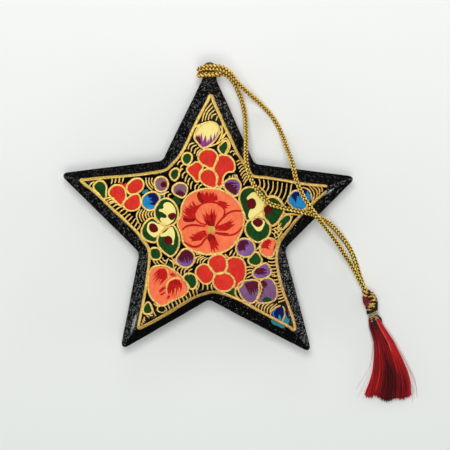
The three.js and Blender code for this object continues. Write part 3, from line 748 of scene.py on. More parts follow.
centre = {
    "corner": (-16.456, 18.901), "unit": 0.02078,
    "ringed": [
        ("red", [(660, 190), (700, 110), (800, 75), (880, 110), (925, 190), (900, 270), (850, 335),
                 (760, 310), (690, 260)]),
        ("red", [(960, 180), (1060, 165), (1140, 220), (1180, 310), (1160, 385), (1080, 400), (1010, 480),
                 (985, 600), (945, 615), (950, 470), (890, 370), (930, 260)]),
        ("red", [(490, 360), (560, 300), (620, 270), (700, 320), (650, 420), (640, 540), (570, 470)]),
        ("red", [(690, 440), (770, 375), (850, 390), (905, 470), (910, 560), (895, 620), (800, 610),
                 (730, 570), (685, 500)]),
        ("green", [(420, 200), (460, 140), (530, 150), (540, 210), (500, 275), (475, 288), (430, 250)]),
        ("green", [(240, 440), (270, 385), (330, 370), (350, 440), (320, 500), (295, 515), (250, 480)]),
        ("mauve", [(10, 600), (20, 530), (80, 490), (150, 510), (185, 580), (165, 650), (100, 690),
                   (40, 665)]),
        ("mauve", [(275, 670), (310, 605), (400, 580), (460, 620), (465, 700), (415, 775), (340, 745),
                   (290, 715)]),
        ("violet", [(1040, 585), (1080, 540), (1150, 520), (1235, 535), (1270, 620), (1250, 700),
                    (1210, 750), (1120, 700), (1060, 650)]),
        ("coral", [(830, 662), (1010, 695), (1170, 795), (1270, 930), (1310, 1090), (1300, 1230),
                   (1230, 1390), (1150, 1500), (1050, 1570), (920, 1610), (820, 1622), (700, 1600),
                   (570, 1560), (440, 1460), (405, 1320), (350, 1170), (395, 1050), (420, 900), (500, 780),
                   (640, 690)]),
    ],
    "plain": [
        ("maroon", [(85, 600), (110, 555), (150, 550), (180, 590), (160, 630), (110, 630)]),
    ],
    "feathers": [
        ("plum", [(335, 742), (350, 685), (372, 730), (392, 672), (402, 752), (380, 762)]),
        ("plum", [(405, 690), (466, 740), (420, 776), (398, 762), (430, 740)]),
        ("plum", [(1040, 588), (1095, 600), (1180, 625), (1240, 605), (1200, 660), (1228, 680),
                  (1208, 748), (1120, 702), (1060, 652)]),
        ("flame", [(660, 695), (668, 850), (720, 862), (800, 850), (862, 846), (938, 808), (908, 715),
                   (895, 775), (870, 695), (852, 775), (825, 692), (803, 775), (765, 690), (742, 770),
                   (715, 688), (698, 775)]),
        ("flame", [(602, 1120), (560, 1147), (500, 1147), (415, 1095), (490, 1105), (425, 1040),
                   (505, 1075), (450, 980), (530, 1030), (478, 915), (560, 990), (508, 862), (590, 950),
                   (556, 822), (620, 912), (705, 868), (640, 960), (595, 1050)]),
        ("flame", [(950, 880), (985, 838), (1040, 852), (1092, 868), (1060, 885), (1130, 905), (1060, 915),
                   (1088, 942), (1040, 950), (1038, 990), (990, 915)]),
        ("flame", [(798, 1195), (770, 1120), (712, 1025), (780, 1082), (758, 1000), (815, 1062),
                   (848, 940), (860, 1032), (886, 950), (900, 1052), (922, 1025), (907, 1120),
                   (888, 1202)]),
        ("flame", [(905, 1238), (990, 1190), (1080, 1150), (1155, 1105), (1120, 1152), (1190, 1128),
                   (1120, 1192), (1210, 1175), (1100, 1262), (1050, 1285), (960, 1265)]),
        ("flame", [(765, 1305), (690, 1312), (600, 1340), (550, 1328), (590, 1370), (502, 1368),
                   (560, 1415), (540, 1440), (680, 1425), (730, 1382), (778, 1350)]),
        ("flame", [(788, 1342), (882, 1342), (922, 1430), (970, 1515), (920, 1490), (952, 1575),
                   (890, 1530), (898, 1610), (858, 1545), (842, 1600), (825, 1500), (798, 1420)]),
    ],
    "details": [
        ("crimson", [(660, 700), (670, 850), (722, 860), (702, 790), (682, 730)]),
        ("crimson", [(418, 1096), (560, 1147), (602, 1112), (500, 1100)]),
        ("crimson", [(795, 1335), (860, 1338), (900, 1420), (850, 1400), (820, 1440)]),
        ("crimson", [(800, 1200), (780, 1120), (820, 1140), (850, 1040), (870, 1140), (890, 1200)]),
    ],
    "spots": [("ochre", (838, 1265), 54)],
    "strokes": [
        ("flame", 0.27, [(770, 1195), (650, 1150), (590, 1050), (620, 960), (700, 890), (850, 855),
                         (970, 895), (1030, 970), (1035, 1040), (960, 1140), (900, 1225)]),
        ("flame", 0.32, [(900, 1230), (990, 1110), (1090, 1020), (1190, 980), (1290, 985)]),
        ("flame", 0.32, [(900, 1310), (1000, 1338), (1110, 1348), (1210, 1315), (1305, 1220)]),
        ("flame", 0.30, [(412, 1265), (460, 1215), (550, 1195), (650, 1195), (755, 1218)]),
        ("flame", 0.34, [(432, 1445), (520, 1500), (600, 1520), (680, 1490), (740, 1420), (780, 1365)]),
        ("crimson", 0.2, [(900, 1300), (1000, 1318), (1100, 1325)]),
        ("crimson", 0.2, [(900, 1235), (985, 1120), (1060, 1055)]),
    ],
    "lines": [
        [(1095, 515), (1120, 465)], [(1150, 505), (1165, 448)], [(1200, 510), (1190, 440)],
        [(1255, 540), (1215, 450)],
        [(1020, 650), (1008, 560), (1040, 450), (1110, 402), (1182, 405)],
        [(925, 640), (960, 650), (1000, 620)],
        [(30, 720), (110, 735), (180, 700)],
    ],
}
leftPansy = {
    "corner": (-24.214, 12.695), "unit": 0.0178,
    "ringed": [
        ("green", [(445, 830), (480, 700), (560, 620), (640, 600), (730, 640), (800, 730), (825, 830),
                   (805, 950), (750, 1020), (690, 1040), (600, 1045), (540, 1000), (465, 910)]),
        ("green", [(220, 1180), (245, 1070), (320, 980), (400, 945), (480, 1000), (600, 1085), (540, 1160),
                   (475, 1250), (455, 1320), (340, 1315), (250, 1260)]),
        ("green", [(505, 1270), (560, 1180), (650, 1110), (740, 1065), (790, 1110), (835, 1220),
                   (843, 1340), (818, 1455), (750, 1560), (712, 1580), (660, 1552), (572, 1478),
                   (514, 1385)]),
    ],
    "plain": [
        ("cream", [(585, 690), (640, 650), (720, 670), (780, 745), (800, 830), (775, 950), (705, 1020),
                   (640, 1045), (560, 1000), (530, 930), (640, 912), (570, 825), (505, 792), (585, 750)]),
        ("cream", [(300, 1090), (330, 1010), (390, 985), (470, 1015), (600, 1088), (545, 1160),
                   (480, 1225), (450, 1258), (350, 1210), (305, 1150)]),
        ("cream", [(530, 1235), (620, 1165), (730, 1080), (765, 1130), (785, 1220), (770, 1320),
                   (745, 1390), (715, 1300), (690, 1240), (600, 1245)]),
        ("green", [(750, 570), (880, 620), (855, 700), (800, 640)]),
    ],
    "details": [
        ("maroon", [(665, 885), (720, 840), (790, 848), (780, 930), (735, 960), (685, 930)]),
        ("maroon", [(335, 1080), (370, 1020), (430, 1025), (480, 1080), (490, 1140), (430, 1175),
                    (365, 1155)]),
        ("maroon", [(598, 1290), (640, 1240), (700, 1245), (745, 1330), (720, 1382), (650, 1390),
                    (605, 1345)]),
    ],
}
rightArm = {
    "corner": (8.368, 17.350), "unit": 0.02078,
    "ringed": [
        ("green", [(75, 700), (115, 605), (220, 570), (300, 600), (370, 680), (445, 790), (430, 860),
                   (330, 950), (230, 1030), (185, 1040), (150, 940), (100, 830)]),
        ("green", [(500, 735), (600, 725), (660, 780), (710, 900), (690, 970), (630, 1060), (570, 1120),
                   (510, 1090), (450, 1010), (430, 930), (440, 860)]),
        ("green", [(168, 1170), (200, 1080), (280, 1025), (360, 1015), (445, 1045), (505, 1120),
                   (510, 1210), (470, 1290), (420, 1335), (350, 1358), (250, 1325), (185, 1260)]),
        ("violet", [(30, 1440), (70, 1360), (150, 1330), (230, 1370), (280, 1450), (265, 1530),
                    (190, 1580), (90, 1570), (40, 1510)]),
        ("coral", [(385, 1440), (430, 1370), (500, 1330), (570, 1345), (605, 1425), (585, 1500),
                   (540, 1575), (430, 1555), (380, 1490)]),
        ("green", [(658, 1103), (720, 1017), (800, 982), (822, 1020), (760, 1103), (693, 1168)]),
        ("blue", [(800, 760), (830, 665), (900, 620), (965, 640), (1050, 780), (1060, 830), (1010, 885),
                  (940, 880), (850, 830)]),
    ],
    "plain": [
        ("cream", [(180, 740), (230, 655), (290, 630), (345, 690), (440, 795), (430, 855), (330, 945),
                   (225, 1030), (218, 900), (300, 840), (310, 780), (260, 720)]),
        ("cream", [(250, 1015), (420, 870), (440, 940), (430, 1000), (330, 990)]),
        ("cream", [(245, 1065), (340, 1030), (425, 1050), (442, 1085), (420, 1150), (385, 1205),
                   (335, 1210), (290, 1165)]),
        ("green", [(350, 580), (400, 590), (450, 660), (440, 700), (380, 640)]),
        ("blue", [(1050, 600), (1100, 650), (1128, 740), (1100, 765), (1060, 690)]),
    ],
    "feathers": [
        ("plum", [(32, 1440), (75, 1362), (140, 1342), (165, 1390), (140, 1450), (160, 1500), (110, 1490),
                  (60, 1510)]),
        ("flame", [(388, 1440), (430, 1382), (455, 1410), (510, 1338), (545, 1410), (505, 1395),
                   (485, 1460), (455, 1425), (425, 1470), (400, 1465)]),
        ("navy", [(838, 665), (900, 625), (960, 640), (955, 705), (925, 680), (915, 745), (905, 800),
                  (880, 740), (850, 720)]),
        ("navy", [(1005, 600), (1020, 568), (1075, 600), (1060, 665), (1020, 630)]),
    ],
    "details": [
        ("maroon", [(168, 800), (205, 740), (265, 725), (305, 770), (310, 835), (260, 880), (195, 865)]),
        ("maroon", [(430, 880), (470, 835), (540, 845), (552, 910), (520, 952), (450, 945)]),
        ("maroon", [(262, 1070), (310, 1035), (380, 1035), (412, 1060), (400, 1120), (340, 1150),
                    (290, 1125)]),
    ],
    "lines": [
        [(360, 545), (450, 640), (475, 690), (560, 690), (650, 730), (710, 805), (740, 890)],
        [(1000, 555), (1090, 590), (1135, 680), (1150, 775)], [(640, 1065), (690, 990), (745, 930)],
        [(860, 985), (800, 1100), (715, 1190)], [(740, 955), (860, 962), (960, 972)],
        [(577, 1126), (596, 1112), (615, 1103)],
    ],
}
lowerLeft = {
    "corner": (-24.214, -5.923), "unit": 0.02078,
    "ringed": [
        ("green", [(320, 370), (370, 355), (430, 375), (450, 420), (440, 485), (380, 500), (325, 480),
                   (315, 430)]),
        ("violet", [(700, 520), (740, 450), (820, 375), (900, 390), (955, 460), (945, 530), (900, 600),
                    (830, 620), (750, 590)]),
        ("coral", [(300, 720), (340, 650), (430, 620), (545, 628), (607, 662), (668, 701), (729, 750),
                   (767, 789), (850, 960), (820, 1020), (700, 1080), (600, 1130), (480, 1190), (380, 1130),
                   (315, 1050), (290, 960), (290, 840)]),
        ("green", [(812, 780), (930, 738), (990, 830), (972, 900), (920, 942), (870, 870)]),
        ("red", [(1190, 540), (1250, 472), (1370, 460), (1430, 560), (1410, 680), (1310, 715),
                 (1220, 660)]),
        ("red", [(1000, 695), (1060, 610), (1130, 600), (1190, 640), (1240, 740), (1200, 840), (1130, 865),
                 (1050, 810)]),
        ("red", [(1250, 850), (1290, 750), (1400, 725), (1490, 750), (1545, 830), (1510, 930), (1410, 975),
                 (1300, 940)]),
        ("green", [(213, 1265), (240, 1190), (268, 1160), (310, 1220), (322, 1290), (270, 1312),
                   (222, 1300)]),
    ],
    "plain": [
        ("green", [(550, 612), (600, 570), (625, 640), (590, 630)]),
    ],
    "feathers": [
        ("plum", [(738, 456), (800, 391), (850, 369), (920, 411), (956, 470), (930, 496), (850, 462),
                  (770, 486)]),
        ("flame", [(445, 672), (520, 652), (556, 700), (562, 775), (520, 830), (500, 800), (440, 810),
                   (455, 760), (385, 775), (440, 720)]),
        ("flame", [(590, 840), (680, 808), (740, 820), (780, 900), (745, 940), (722, 890), (692, 955),
                   (660, 900), (620, 965), (580, 1045), (558, 960)]),
        ("flame", [(430, 975), (510, 905), (480, 950)]),
        ("flame", [(440, 1010), (500, 960), (470, 1000)]),
        ("flame", [(545, 1110), (570, 1040), (560, 1095)]),
    ],
    "lines": [[(545, 1000), (550, 900), (600, 825), (700, 790), (765, 800)],
              [(1190, 440), (1300, 445), (1380, 430)]],
}
lowerRight = {
    "corner": (-0.941, -9.026), "unit": 0.02078,
    "ringed": [
        ("red", [(345, 385), (463, 343), (565, 402), (597, 530), (570, 664), (506, 772), (462, 790),
                 (452, 677), (386, 582), (325, 548), (338, 470)]),
        ("green", [(660, 385), (700, 320), (760, 270), (820, 340), (838, 382), (790, 430), (730, 442)]),
        ("violet", [(722, 580), (750, 520), (830, 465), (900, 430), (950, 490), (970, 560), (910, 620),
                    (820, 642), (750, 620)]),
        ("lilac", [(510, 760), (560, 705), (640, 685), (760, 690), (825, 760), (805, 870), (755, 960),
                   (690, 1002), (590, 950), (530, 860)]),
        ("lilac", [(835, 690), (960, 660), (1030, 740), (1062, 850), (1040, 940), (960, 990), (850, 1002),
                   (790, 990), (820, 860)]),
    ],
    "plain": [
        ("green", [(330, 880), (440, 795), (462, 905), (410, 915)]),
        ("flame", [(298, 290), (360, 320), (367, 366), (344, 404), (314, 381)]),
        ("green", [(858, 982), (890, 930), (950, 930), (992, 972), (930, 992)]),
    ],
    "feathers": [
        ("plum", [(738, 535), (800, 490), (870, 490), (930, 525), (865, 535), (925, 575), (850, 565),
                  (800, 595), (752, 565)]),
        ("plum", [(612, 742), (632, 705), (760, 692), (800, 745), (770, 800), (720, 772), (660, 792)]),
        ("plum", [(838, 700), (880, 700), (935, 745), (870, 740), (900, 780), (845, 760)]),
        ("plum", [(835, 800), (880, 815), (840, 830)]),
        ("plum", [(830, 850), (875, 860), (832, 880)]),
        ("plum", [(820, 900), (860, 905), (815, 925)]),
    ],
    "lines": [
        [(480, 760), (450, 850), (500, 950), (600, 1010)], [(960, 590), (1040, 585)],
        [(294, 282), (334, 330), (390, 346)],
    ],
}
heart = {   # brushed fans over the middle: colour, root, ends and how many hairs of the brush show
    "corner": (-8.699, 11.144), "unit": 0.0557,
    "fans": [
        ("plum", [(255, 78), (262, 108), (285, 132)], [(322, 74), (332, 98), (316, 130)], 6),
        ("plum", [(322, 420), (340, 396), (372, 392)], [(352, 462), (362, 448), (392, 428)], 6),
        ("plum", [(415, 575), (418, 558), (428, 545)], [(488, 596), (494, 578), (478, 548)], 6),
        ("plum", [(362, 632), (395, 620), (432, 622)], [(392, 700), (420, 712), (436, 690)], 7),
        ("plum", [(442, 640), (448, 622), (462, 612)], [(478, 664), (492, 648), (494, 634)], 4),
        ("plum", [(440, 672), (442, 660), (446, 650)], [(466, 690), (474, 678), (474, 662)], 3),
        ("plum", [(4, 450), (34, 442), (66, 462)], [(4, 510), (34, 522), (62, 508)], 7),
        ("flame", [(452, 428), (466, 400), (490, 388)], [(500, 448), (512, 424), (516, 398)], 5),
        ("flame", [(148, 306), (165, 300), (184, 304)], [(112, 232), (158, 214), (200, 232)], 7),
        ("flame", [(196, 332), (198, 322), (194, 312)], [(282, 336), (302, 300), (290, 276)], 6),
        ("flame", [(142, 336), (146, 350), (154, 358)], [(62, 362), (52, 382), (84, 396)], 6),
        ("flame", [(158, 362), (168, 364), (182, 362)], [(170, 446), (192, 456), (216, 428)], 7),
        ("flame", [(36, 284), (58, 250), (92, 206)], [(4, 262), (18, 218), (64, 168)], 8),
        ("flame", [(108, 172), (150, 178), (204, 170)], [(110, 116), (158, 114), (206, 126)], 8),
        ("flame", [(208, 178), (226, 186), (240, 206)], [(240, 172), (268, 182), (258, 212)], 5),
        ("crimson", [(158, 306), (166, 302), (178, 306)], [(144, 256), (166, 240), (186, 254)], 4),
        ("crimson", [(160, 364), (168, 366), (178, 364)], [(166, 420), (184, 430), (198, 410)], 4),
    ],
    "lines": [[(549, 366), (548, 383), (531, 399)]],
    "hatch": [
        (4, [(31, 12), (18, 26), (14, 47)], [(71, 63), (61, 83), (62, 107)]),
        (2, [(102, 77), (88, 89), (85, 114)], [(125, 80), (108, 93), (102, 114)]),
    ],
}
lowerBloom = {
    "corner": (-28.87, -10.577), "unit": 0.0557,
    "fans": [
        ("flame", [(250, 159), (283, 171), (289, 208)], [(188, 214), (212, 242), (252, 254)], 8),
        ("flame", [(302, 246), (330, 218), (372, 240)], [(294, 310), (334, 314), (368, 288)], 8),
        ("crimson", [(318, 232), (338, 222), (362, 234)], [(316, 266), (338, 276), (360, 262)], 4),
        ("crimson", [(267, 158), (283, 165), (289, 194)], [(236, 186), (254, 202), (272, 218)], 5),
        ("flame", [(246, 290), (256, 282), (268, 276)], [(280, 262), (290, 256), (300, 246)], 3),
        ("flame", [(252, 308), (262, 302), (272, 296)], [(276, 292), (284, 286), (292, 278)], 3),
        ("flame", [(292, 330), (298, 322), (304, 312)], [(296, 310), (302, 304), (308, 296)], 2),
        ("plum", [(352, 92), (390, 62), (432, 80)], [(366, 122), (396, 142), (428, 122)], 8),
        ("flame", [(306, 188), (316, 184), (328, 188)], [(330, 208), (342, 204), (352, 206)], 3),
    ],
}
leftGap = {
    "corner": (-19.247, -11.814), "unit": 0.01591,
    "lines": [[(408, 470), (428, 560), (440, 650)]],
    "hatch": [
        (2, [(145, 305), (160, 350), (200, 395)], [(200, 305), (222, 350), (255, 388)]),
        (2, [(262, 305), (300, 352), (385, 398)], [(325, 262), (352, 312), (405, 335)]),
        (2, [(440, 275), (408, 330), (392, 392)], [(455, 305), (528, 358), (540, 490)]),
        (2, [(560, 275), (575, 340), (615, 410)], [(500, 262), (545, 320), (580, 400)]),
    ],
}
lowTip = {
    "corner": (-25.762, -29.187), "unit": 0.01591,
    "hatch": [
        (2, [(525, 80), (545, 190), (605, 305)], [(565, 60), (612, 100), (690, 125)]),
        (2, [(650, 125), (632, 185), (690, 240)], [(790, 190), (775, 225), (700, 242)]),
        (2, [(425, 262), (440, 310), (480, 345)], [(470, 280), (500, 300), (550, 290)]),
        (3, [(385, 325), (372, 370), (405, 400)], [(330, 430), (335, 460), (350, 480)]),
    ],
}
leftBlooms = {
    "corner": (-47.486, 20.453), "unit": 0.0557,
    "fans": [
        ("navy", [(556, 296), (574, 318), (566, 348)], [(518, 306), (520, 332), (534, 356)], 7),
        ("plum", [(672, 306), (692, 314), (712, 308)], [(682, 272), (700, 270), (716, 282)], 6),
        ("maroon", [(598, 252), (614, 260), (624, 246)], [(588, 238), (602, 226), (616, 230)], 4),
    ],
}
lowerBird = {   # a blue motif whose tail is smeared over the border
    "corner": (16.738, -27.946), "unit": 0.01432,
    "plain": [
        ("navy", [(430, 215), (455, 270), (468, 340), (455, 430), (430, 500), (395, 560), (340, 530),
                  (280, 490), (235, 440), (208, 385), (228, 320), (290, 262), (360, 234)]),
        ("teal", [(522, 385), (552, 420), (580, 470), (592, 525), (575, 580), (535, 608), (480, 600),
                  (440, 570), (448, 525), (470, 475), (495, 430)]),
        ("teal", [(194, 520), (250, 532), (310, 562), (370, 594), (430, 626), (490, 672), (448, 694),
                  (388, 674), (326, 642), (258, 618), (222, 590), (202, 556)]),
    ],
    "details": [
        ("teal", [(372, 402), (396, 440), (413, 500), (405, 548), (368, 548), (348, 500), (352, 450)]),
        ("navy", [(508, 325), (548, 378), (580, 450), (566, 492), (538, 445), (514, 390)]),
        ("blue", [(222, 370), (244, 322), (296, 280), (262, 330), (246, 385), (262, 440), (238, 420)]),
    ],
    "lines": [[(182, 440), (192, 365), (238, 285), (310, 230), (400, 196)],
              [(438, 222), (472, 272), (492, 335), (484, 415), (456, 492), (424, 548)]],
}
upperLeft = {
    "corner": (-45.935, 37.52), "unit": 0.03103,
    "hatch": [
        (4, [(1282, 648), (1298, 600), (1345, 578)], [(1368, 712), (1380, 670), (1412, 648)]),
        (2, [(1205, 850), (1218, 808), (1262, 795)], [(1200, 872), (1211, 851), (1232, 838)]),
        (4, [(515, 990), (525, 960), (520, 938)], [(628, 975), (632, 950), (640, 928)]),
        (3, [(862, 930), (872, 995), (925, 1060)], [(925, 925), (915, 965), (940, 1010)]),
        (2, [(1040, 1130), (1050, 1085), (1090, 1068)], [(1080, 1130), (1088, 1102), (1115, 1090)]),
        (11, [(470, 1165), (505, 1145), (545, 1140)], [(775, 1450), (795, 1420), (810, 1385)]),
        (6, [(800, 1385), (768, 1305), (800, 1240)], [(925, 1315), (915, 1290), (928, 1262)]),
        (2, [(1175, 800), (1190, 770), (1215, 760)], [(1225, 690), (1240, 655), (1262, 630)]),
    ],
}
upperRight = {
    "corner": (-2.493, 37.52), "unit": 0.03103,
    "hatch": [
        (4, [(22, 365), (50, 270), (118, 180)], [(112, 345), (122, 312), (162, 290)]),
        (2, [(215, 540), (240, 502), (272, 482)], [(190, 500), (215, 455), (222, 400)]),
        (2, [(300, 680), (322, 662), (345, 668)], [(330, 708), (352, 690), (372, 700)]),
        (8, [(362, 770), (385, 756), (412, 752)], [(440, 1002), (465, 955), (505, 925)]),
        (8, [(590, 940), (600, 995), (575, 1032)], [(915, 990), (892, 1110), (845, 1195)]),
        (4, [(1085, 1008), (1140, 1080), (1125, 1170)], [(1205, 1022), (1222, 1045), (1215, 1070)]),
        (3, [(751, 1424), (787, 1455), (823, 1503)], [(714, 1475), (739, 1489), (751, 1520)]),
    ],
}
lower = {
    "corner": (-27.317, -4.371), "unit": 0.0393,
    "hatch": [
        (5, [(430, 422), (428, 385), (450, 362)], [(540, 435), (545, 400), (572, 385)]),
        (4, [(588, 335), (600, 300), (642, 278)], [(650, 345), (662, 318), (698, 300)]),
        (2, [(600, 268), (645, 268), (690, 276)], [(580, 245), (610, 255), (640, 250)]),
        (5, [(865, 280), (873, 259), (890, 237)], [(969, 322), (973, 304), (985, 288)]),
        (2, [(1060, 245), (1088, 222), (1105, 188)], [(1085, 262), (1105, 245), (1120, 228)]),
        (4, [(995, 375), (1020, 368), (1048, 372)], [(1000, 455), (1025, 442), (1052, 432)]),
        (6, [(1160, 300), (1195, 305), (1230, 298)], [(1200, 440), (1222, 442), (1250, 434)]),
        (3, [(1212, 470), (1232, 472), (1256, 464)], [(1236, 520), (1250, 522), (1270, 514)]),
        (5, [(1242, 545), (1258, 546), (1278, 540)], [(1246, 645), (1266, 640), (1300, 628)]),
        (6, [(1068, 690), (1073, 665), (1093, 646)], [(1185, 745), (1190, 705), (1238, 660)]),
        (7, [(352, 678), (366, 702), (370, 728)], [(520, 592), (530, 615), (536, 634)]),
        (3, [(545, 560), (556, 590), (560, 616)], [(600, 515), (604, 552), (610, 588)]),
        (4, [(622, 490), (622, 520), (612, 550)], [(722, 505), (724, 528), (730, 552)]),
        (4, [(1195, 75), (1245, 60), (1270, 25)], [(1235, 180), (1262, 150), (1285, 110)]),
        (3, [(795, 268), (812, 255), (838, 250)], [(700, 260), (740, 262), (770, 262)]),
    ],
}
border = [   # the gold edge, counterclockwise in four runs from the right tip, where it stays open
    (upperRight, [(1268, 1014), (1240, 1012), (1150, 1004), (1050, 992), (950, 975), (850, 958),
                  (750, 942), (650, 928), (570, 918), (525, 905), (490, 862), (440, 788), (390, 708),
                  (340, 615), (290, 510), (250, 425), (210, 335), (165, 235), (132, 160), (112, 108),
                  (104, 112)]),
    (upperLeft, [(1478, 160), (1442, 230), (1400, 305), (1352, 400), (1312, 490), (1272, 578), (1230, 655),
                 (1180, 730), (1120, 798), (1060, 845), (980, 872), (900, 882), (800, 895), (650, 908),
                 (500, 922), (350, 936), (240, 946), (214, 950), (232, 978), (320, 1048), (400, 1118),
                 (500, 1210), (600, 1305), (700, 1400), (780, 1478)]),
    (lower, [(190, 168), (216, 205), (230, 245), (233, 300), (228, 360), (220, 430), (208, 510),
             (194, 590), (180, 665), (165, 745), (150, 825), (150, 852), (172, 846), (300, 782),
             (400, 724), (500, 660), (600, 606), (680, 576), (740, 567), (800, 576), (870, 600),
             (950, 632), (1050, 686), (1150, 741), (1250, 797), (1340, 846), (1374, 868), (1380, 850),
             (1368, 795), (1345, 720), (1312, 625), (1282, 545), (1260, 465), (1243, 385), (1236, 315),
             (1240, 250), (1250, 200), (1270, 155)]),
    (upperRight, [(850, 1490), (905, 1420), (960, 1355), (1020, 1290), (1090, 1220), (1160, 1152),
                  (1225, 1092), (1264, 1056)]),
]
regions = [
    topArm, leftArm, centre, leftPansy, rightArm, lowerLeft, lowerRight, heart, lowerBloom, leftGap, lowTip,
    leftBlooms, lowerBird, upperLeft, upperRight, lower,
]
hand = random.Random(7)   # the painter's unsteadiness


def onFace(region, place):   # a place of a region in mm
    left, top = region["corner"]
    return Vector((left + place[0] * region["unit"], top - place[1] * region["unit"], 0.0))


def allOnFace(region, places):
    return [onFace(region, place) for place in places]


def daub(points, height, sharp):   # a closed flat blob of paint
    data = bpy.data.curves.new("daub", "CURVE")
    data.dimensions = "2D"
    data.fill_mode = "BOTH"
    data.extrude = paint["thickness"] / 2 * mm
    data.resolution_u = 1 if sharp else paint["curveSteps"]
    spline = data.splines.new("BEZIER")
    spline.bezier_points.add(len(points) - 1)
    for place, point in zip(spline.bezier_points, points):
        place.co = point * mm
        place.handle_left_type = place.handle_right_type = "VECTOR" if sharp else "AUTO"
    spline.use_cyclic_u = True
    mesh = curveMesh(data)
    mesh.transform(Matrix.Translation((0, 0, (height + paint["thickness"] / 2) * mm)))
    return mesh


def brushLines(lines, height):   # raised lines: (points, half width, closed)
    data = bpy.data.curves.new("brush", "CURVE")
    data.dimensions = "3D"
    data.bevel_depth = mm
    data.bevel_resolution = paint["lineSides"]
    data.resolution_u = paint["curveSteps"]
    data.use_fill_caps = True
    for points, half, closed in lines:
        spline = data.splines.new("BEZIER")
        spline.bezier_points.add(len(points) - 1)
        for i, (place, point) in enumerate(zip(spline.bezier_points, points)):
            shift = Vector((hand.gauss(0, paint["unsteady"]), hand.gauss(0, paint["unsteady"]), 0))
            place.co = (point + shift) * mm
            place.handle_left_type = place.handle_right_type = "AUTO"
            atEnd = not closed and i in (0, len(points) - 1)
            place.radius = half * hand.uniform(*paint["swing"]) * (paint["lineEnd"] if atEnd else 1.0)
        spline.use_cyclic_u = closed
    mesh = curveMesh(data)
    mesh.transform(Matrix.Translation((0, 0, height * mm)) @ Matrix.Diagonal((1, 1, paint["flat"], 1)))
    mesh.shade_smooth()
    return mesh


def brushFans(fans, height):   # hairs of a spread brush, each stroke drawn out to a point
    scatter, bend, steps = paint["hairScatter"], paint["hairBow"], len(paint["hairWidths"]) - 1
    lines = []
    for region, root, ends, count in fans:
        starts, stops = [throughPoints([p * mm for p in allOnFace(region, places)], paint["fanStep"] * mm)
                         for places in (root, ends)]
        half = max((starts[-1] - starts[0]).length, paint["fanLeast"] * mm) / count * paint["hairOverlap"]
        for i in range(count):
            share = (i + 0.5 + hand.uniform(-scatter, scatter)) / count
            start, stop = starts[int(share * (len(starts) - 1))], stops[int(share * (len(stops) - 1))]
            stop = start.lerp(stop, hand.uniform(*paint["hairReach"]))
            bow = Vector((start.y - stop.y, stop.x - start.x, 0)) * hand.uniform(-bend, bend)
            shares = [t / steps for t in range(steps + 1)]
            points = [start.lerp(stop, share) + bow * math.sin(math.pi * share) for share in shares]
            lines.append((points, [half * width for width in paint["hairWidths"]]))
    mesh = tubes("fans", lines)
    mesh.transform(Matrix.Translation((0, 0, height * mm)) @ Matrix.Diagonal((1, 1, paint["hairFlat"], 1)))
    return mesh


def widened(points, away):   # a closed outline moved outwards
    area = sum(a.x * b.y - b.x * a.y for a, b in zip(points, points[1:] + points[:1]))
    moved = []
    for i, point in enumerate(points):
        along = (points[(i + 1) % len(points)] - points[i - 1]).normalized()
        moved.append(point + Vector((along.y, -along.x, 0)) * away * (1 if area > 0 else -1))
    return moved


def divided(mesh):   # points inside the blob, so that it can bend over the edge of the face
    bm = bmesh.new()
    bm.from_mesh(mesh)
    bmesh.ops.triangulate(bm, faces=bm.faces)
    for i in range(paint["bendRounds"]):
        wide = [e for e in bm.edges if e.calc_length() > paint["bendEvery"] * mm]
        bmesh.ops.subdivide_edges(bm, edges=wide, cuts=1)
        bmesh.ops.triangulate(bm, faces=bm.faces)
    bm.to_mesh(mesh)
    bm.free()
    return mesh


def drape(mesh, surface):   # paint follows the surface where it runs over the edge of the face
    for vert in mesh.vertices:
        hit = surface.ray_cast(Vector((vert.co.x, vert.co.y, paint["dropFrom"])), Vector((0, 0, -1)))[0]
        vert.co.z += hit.z - paint["face"] * mm
    return mesh


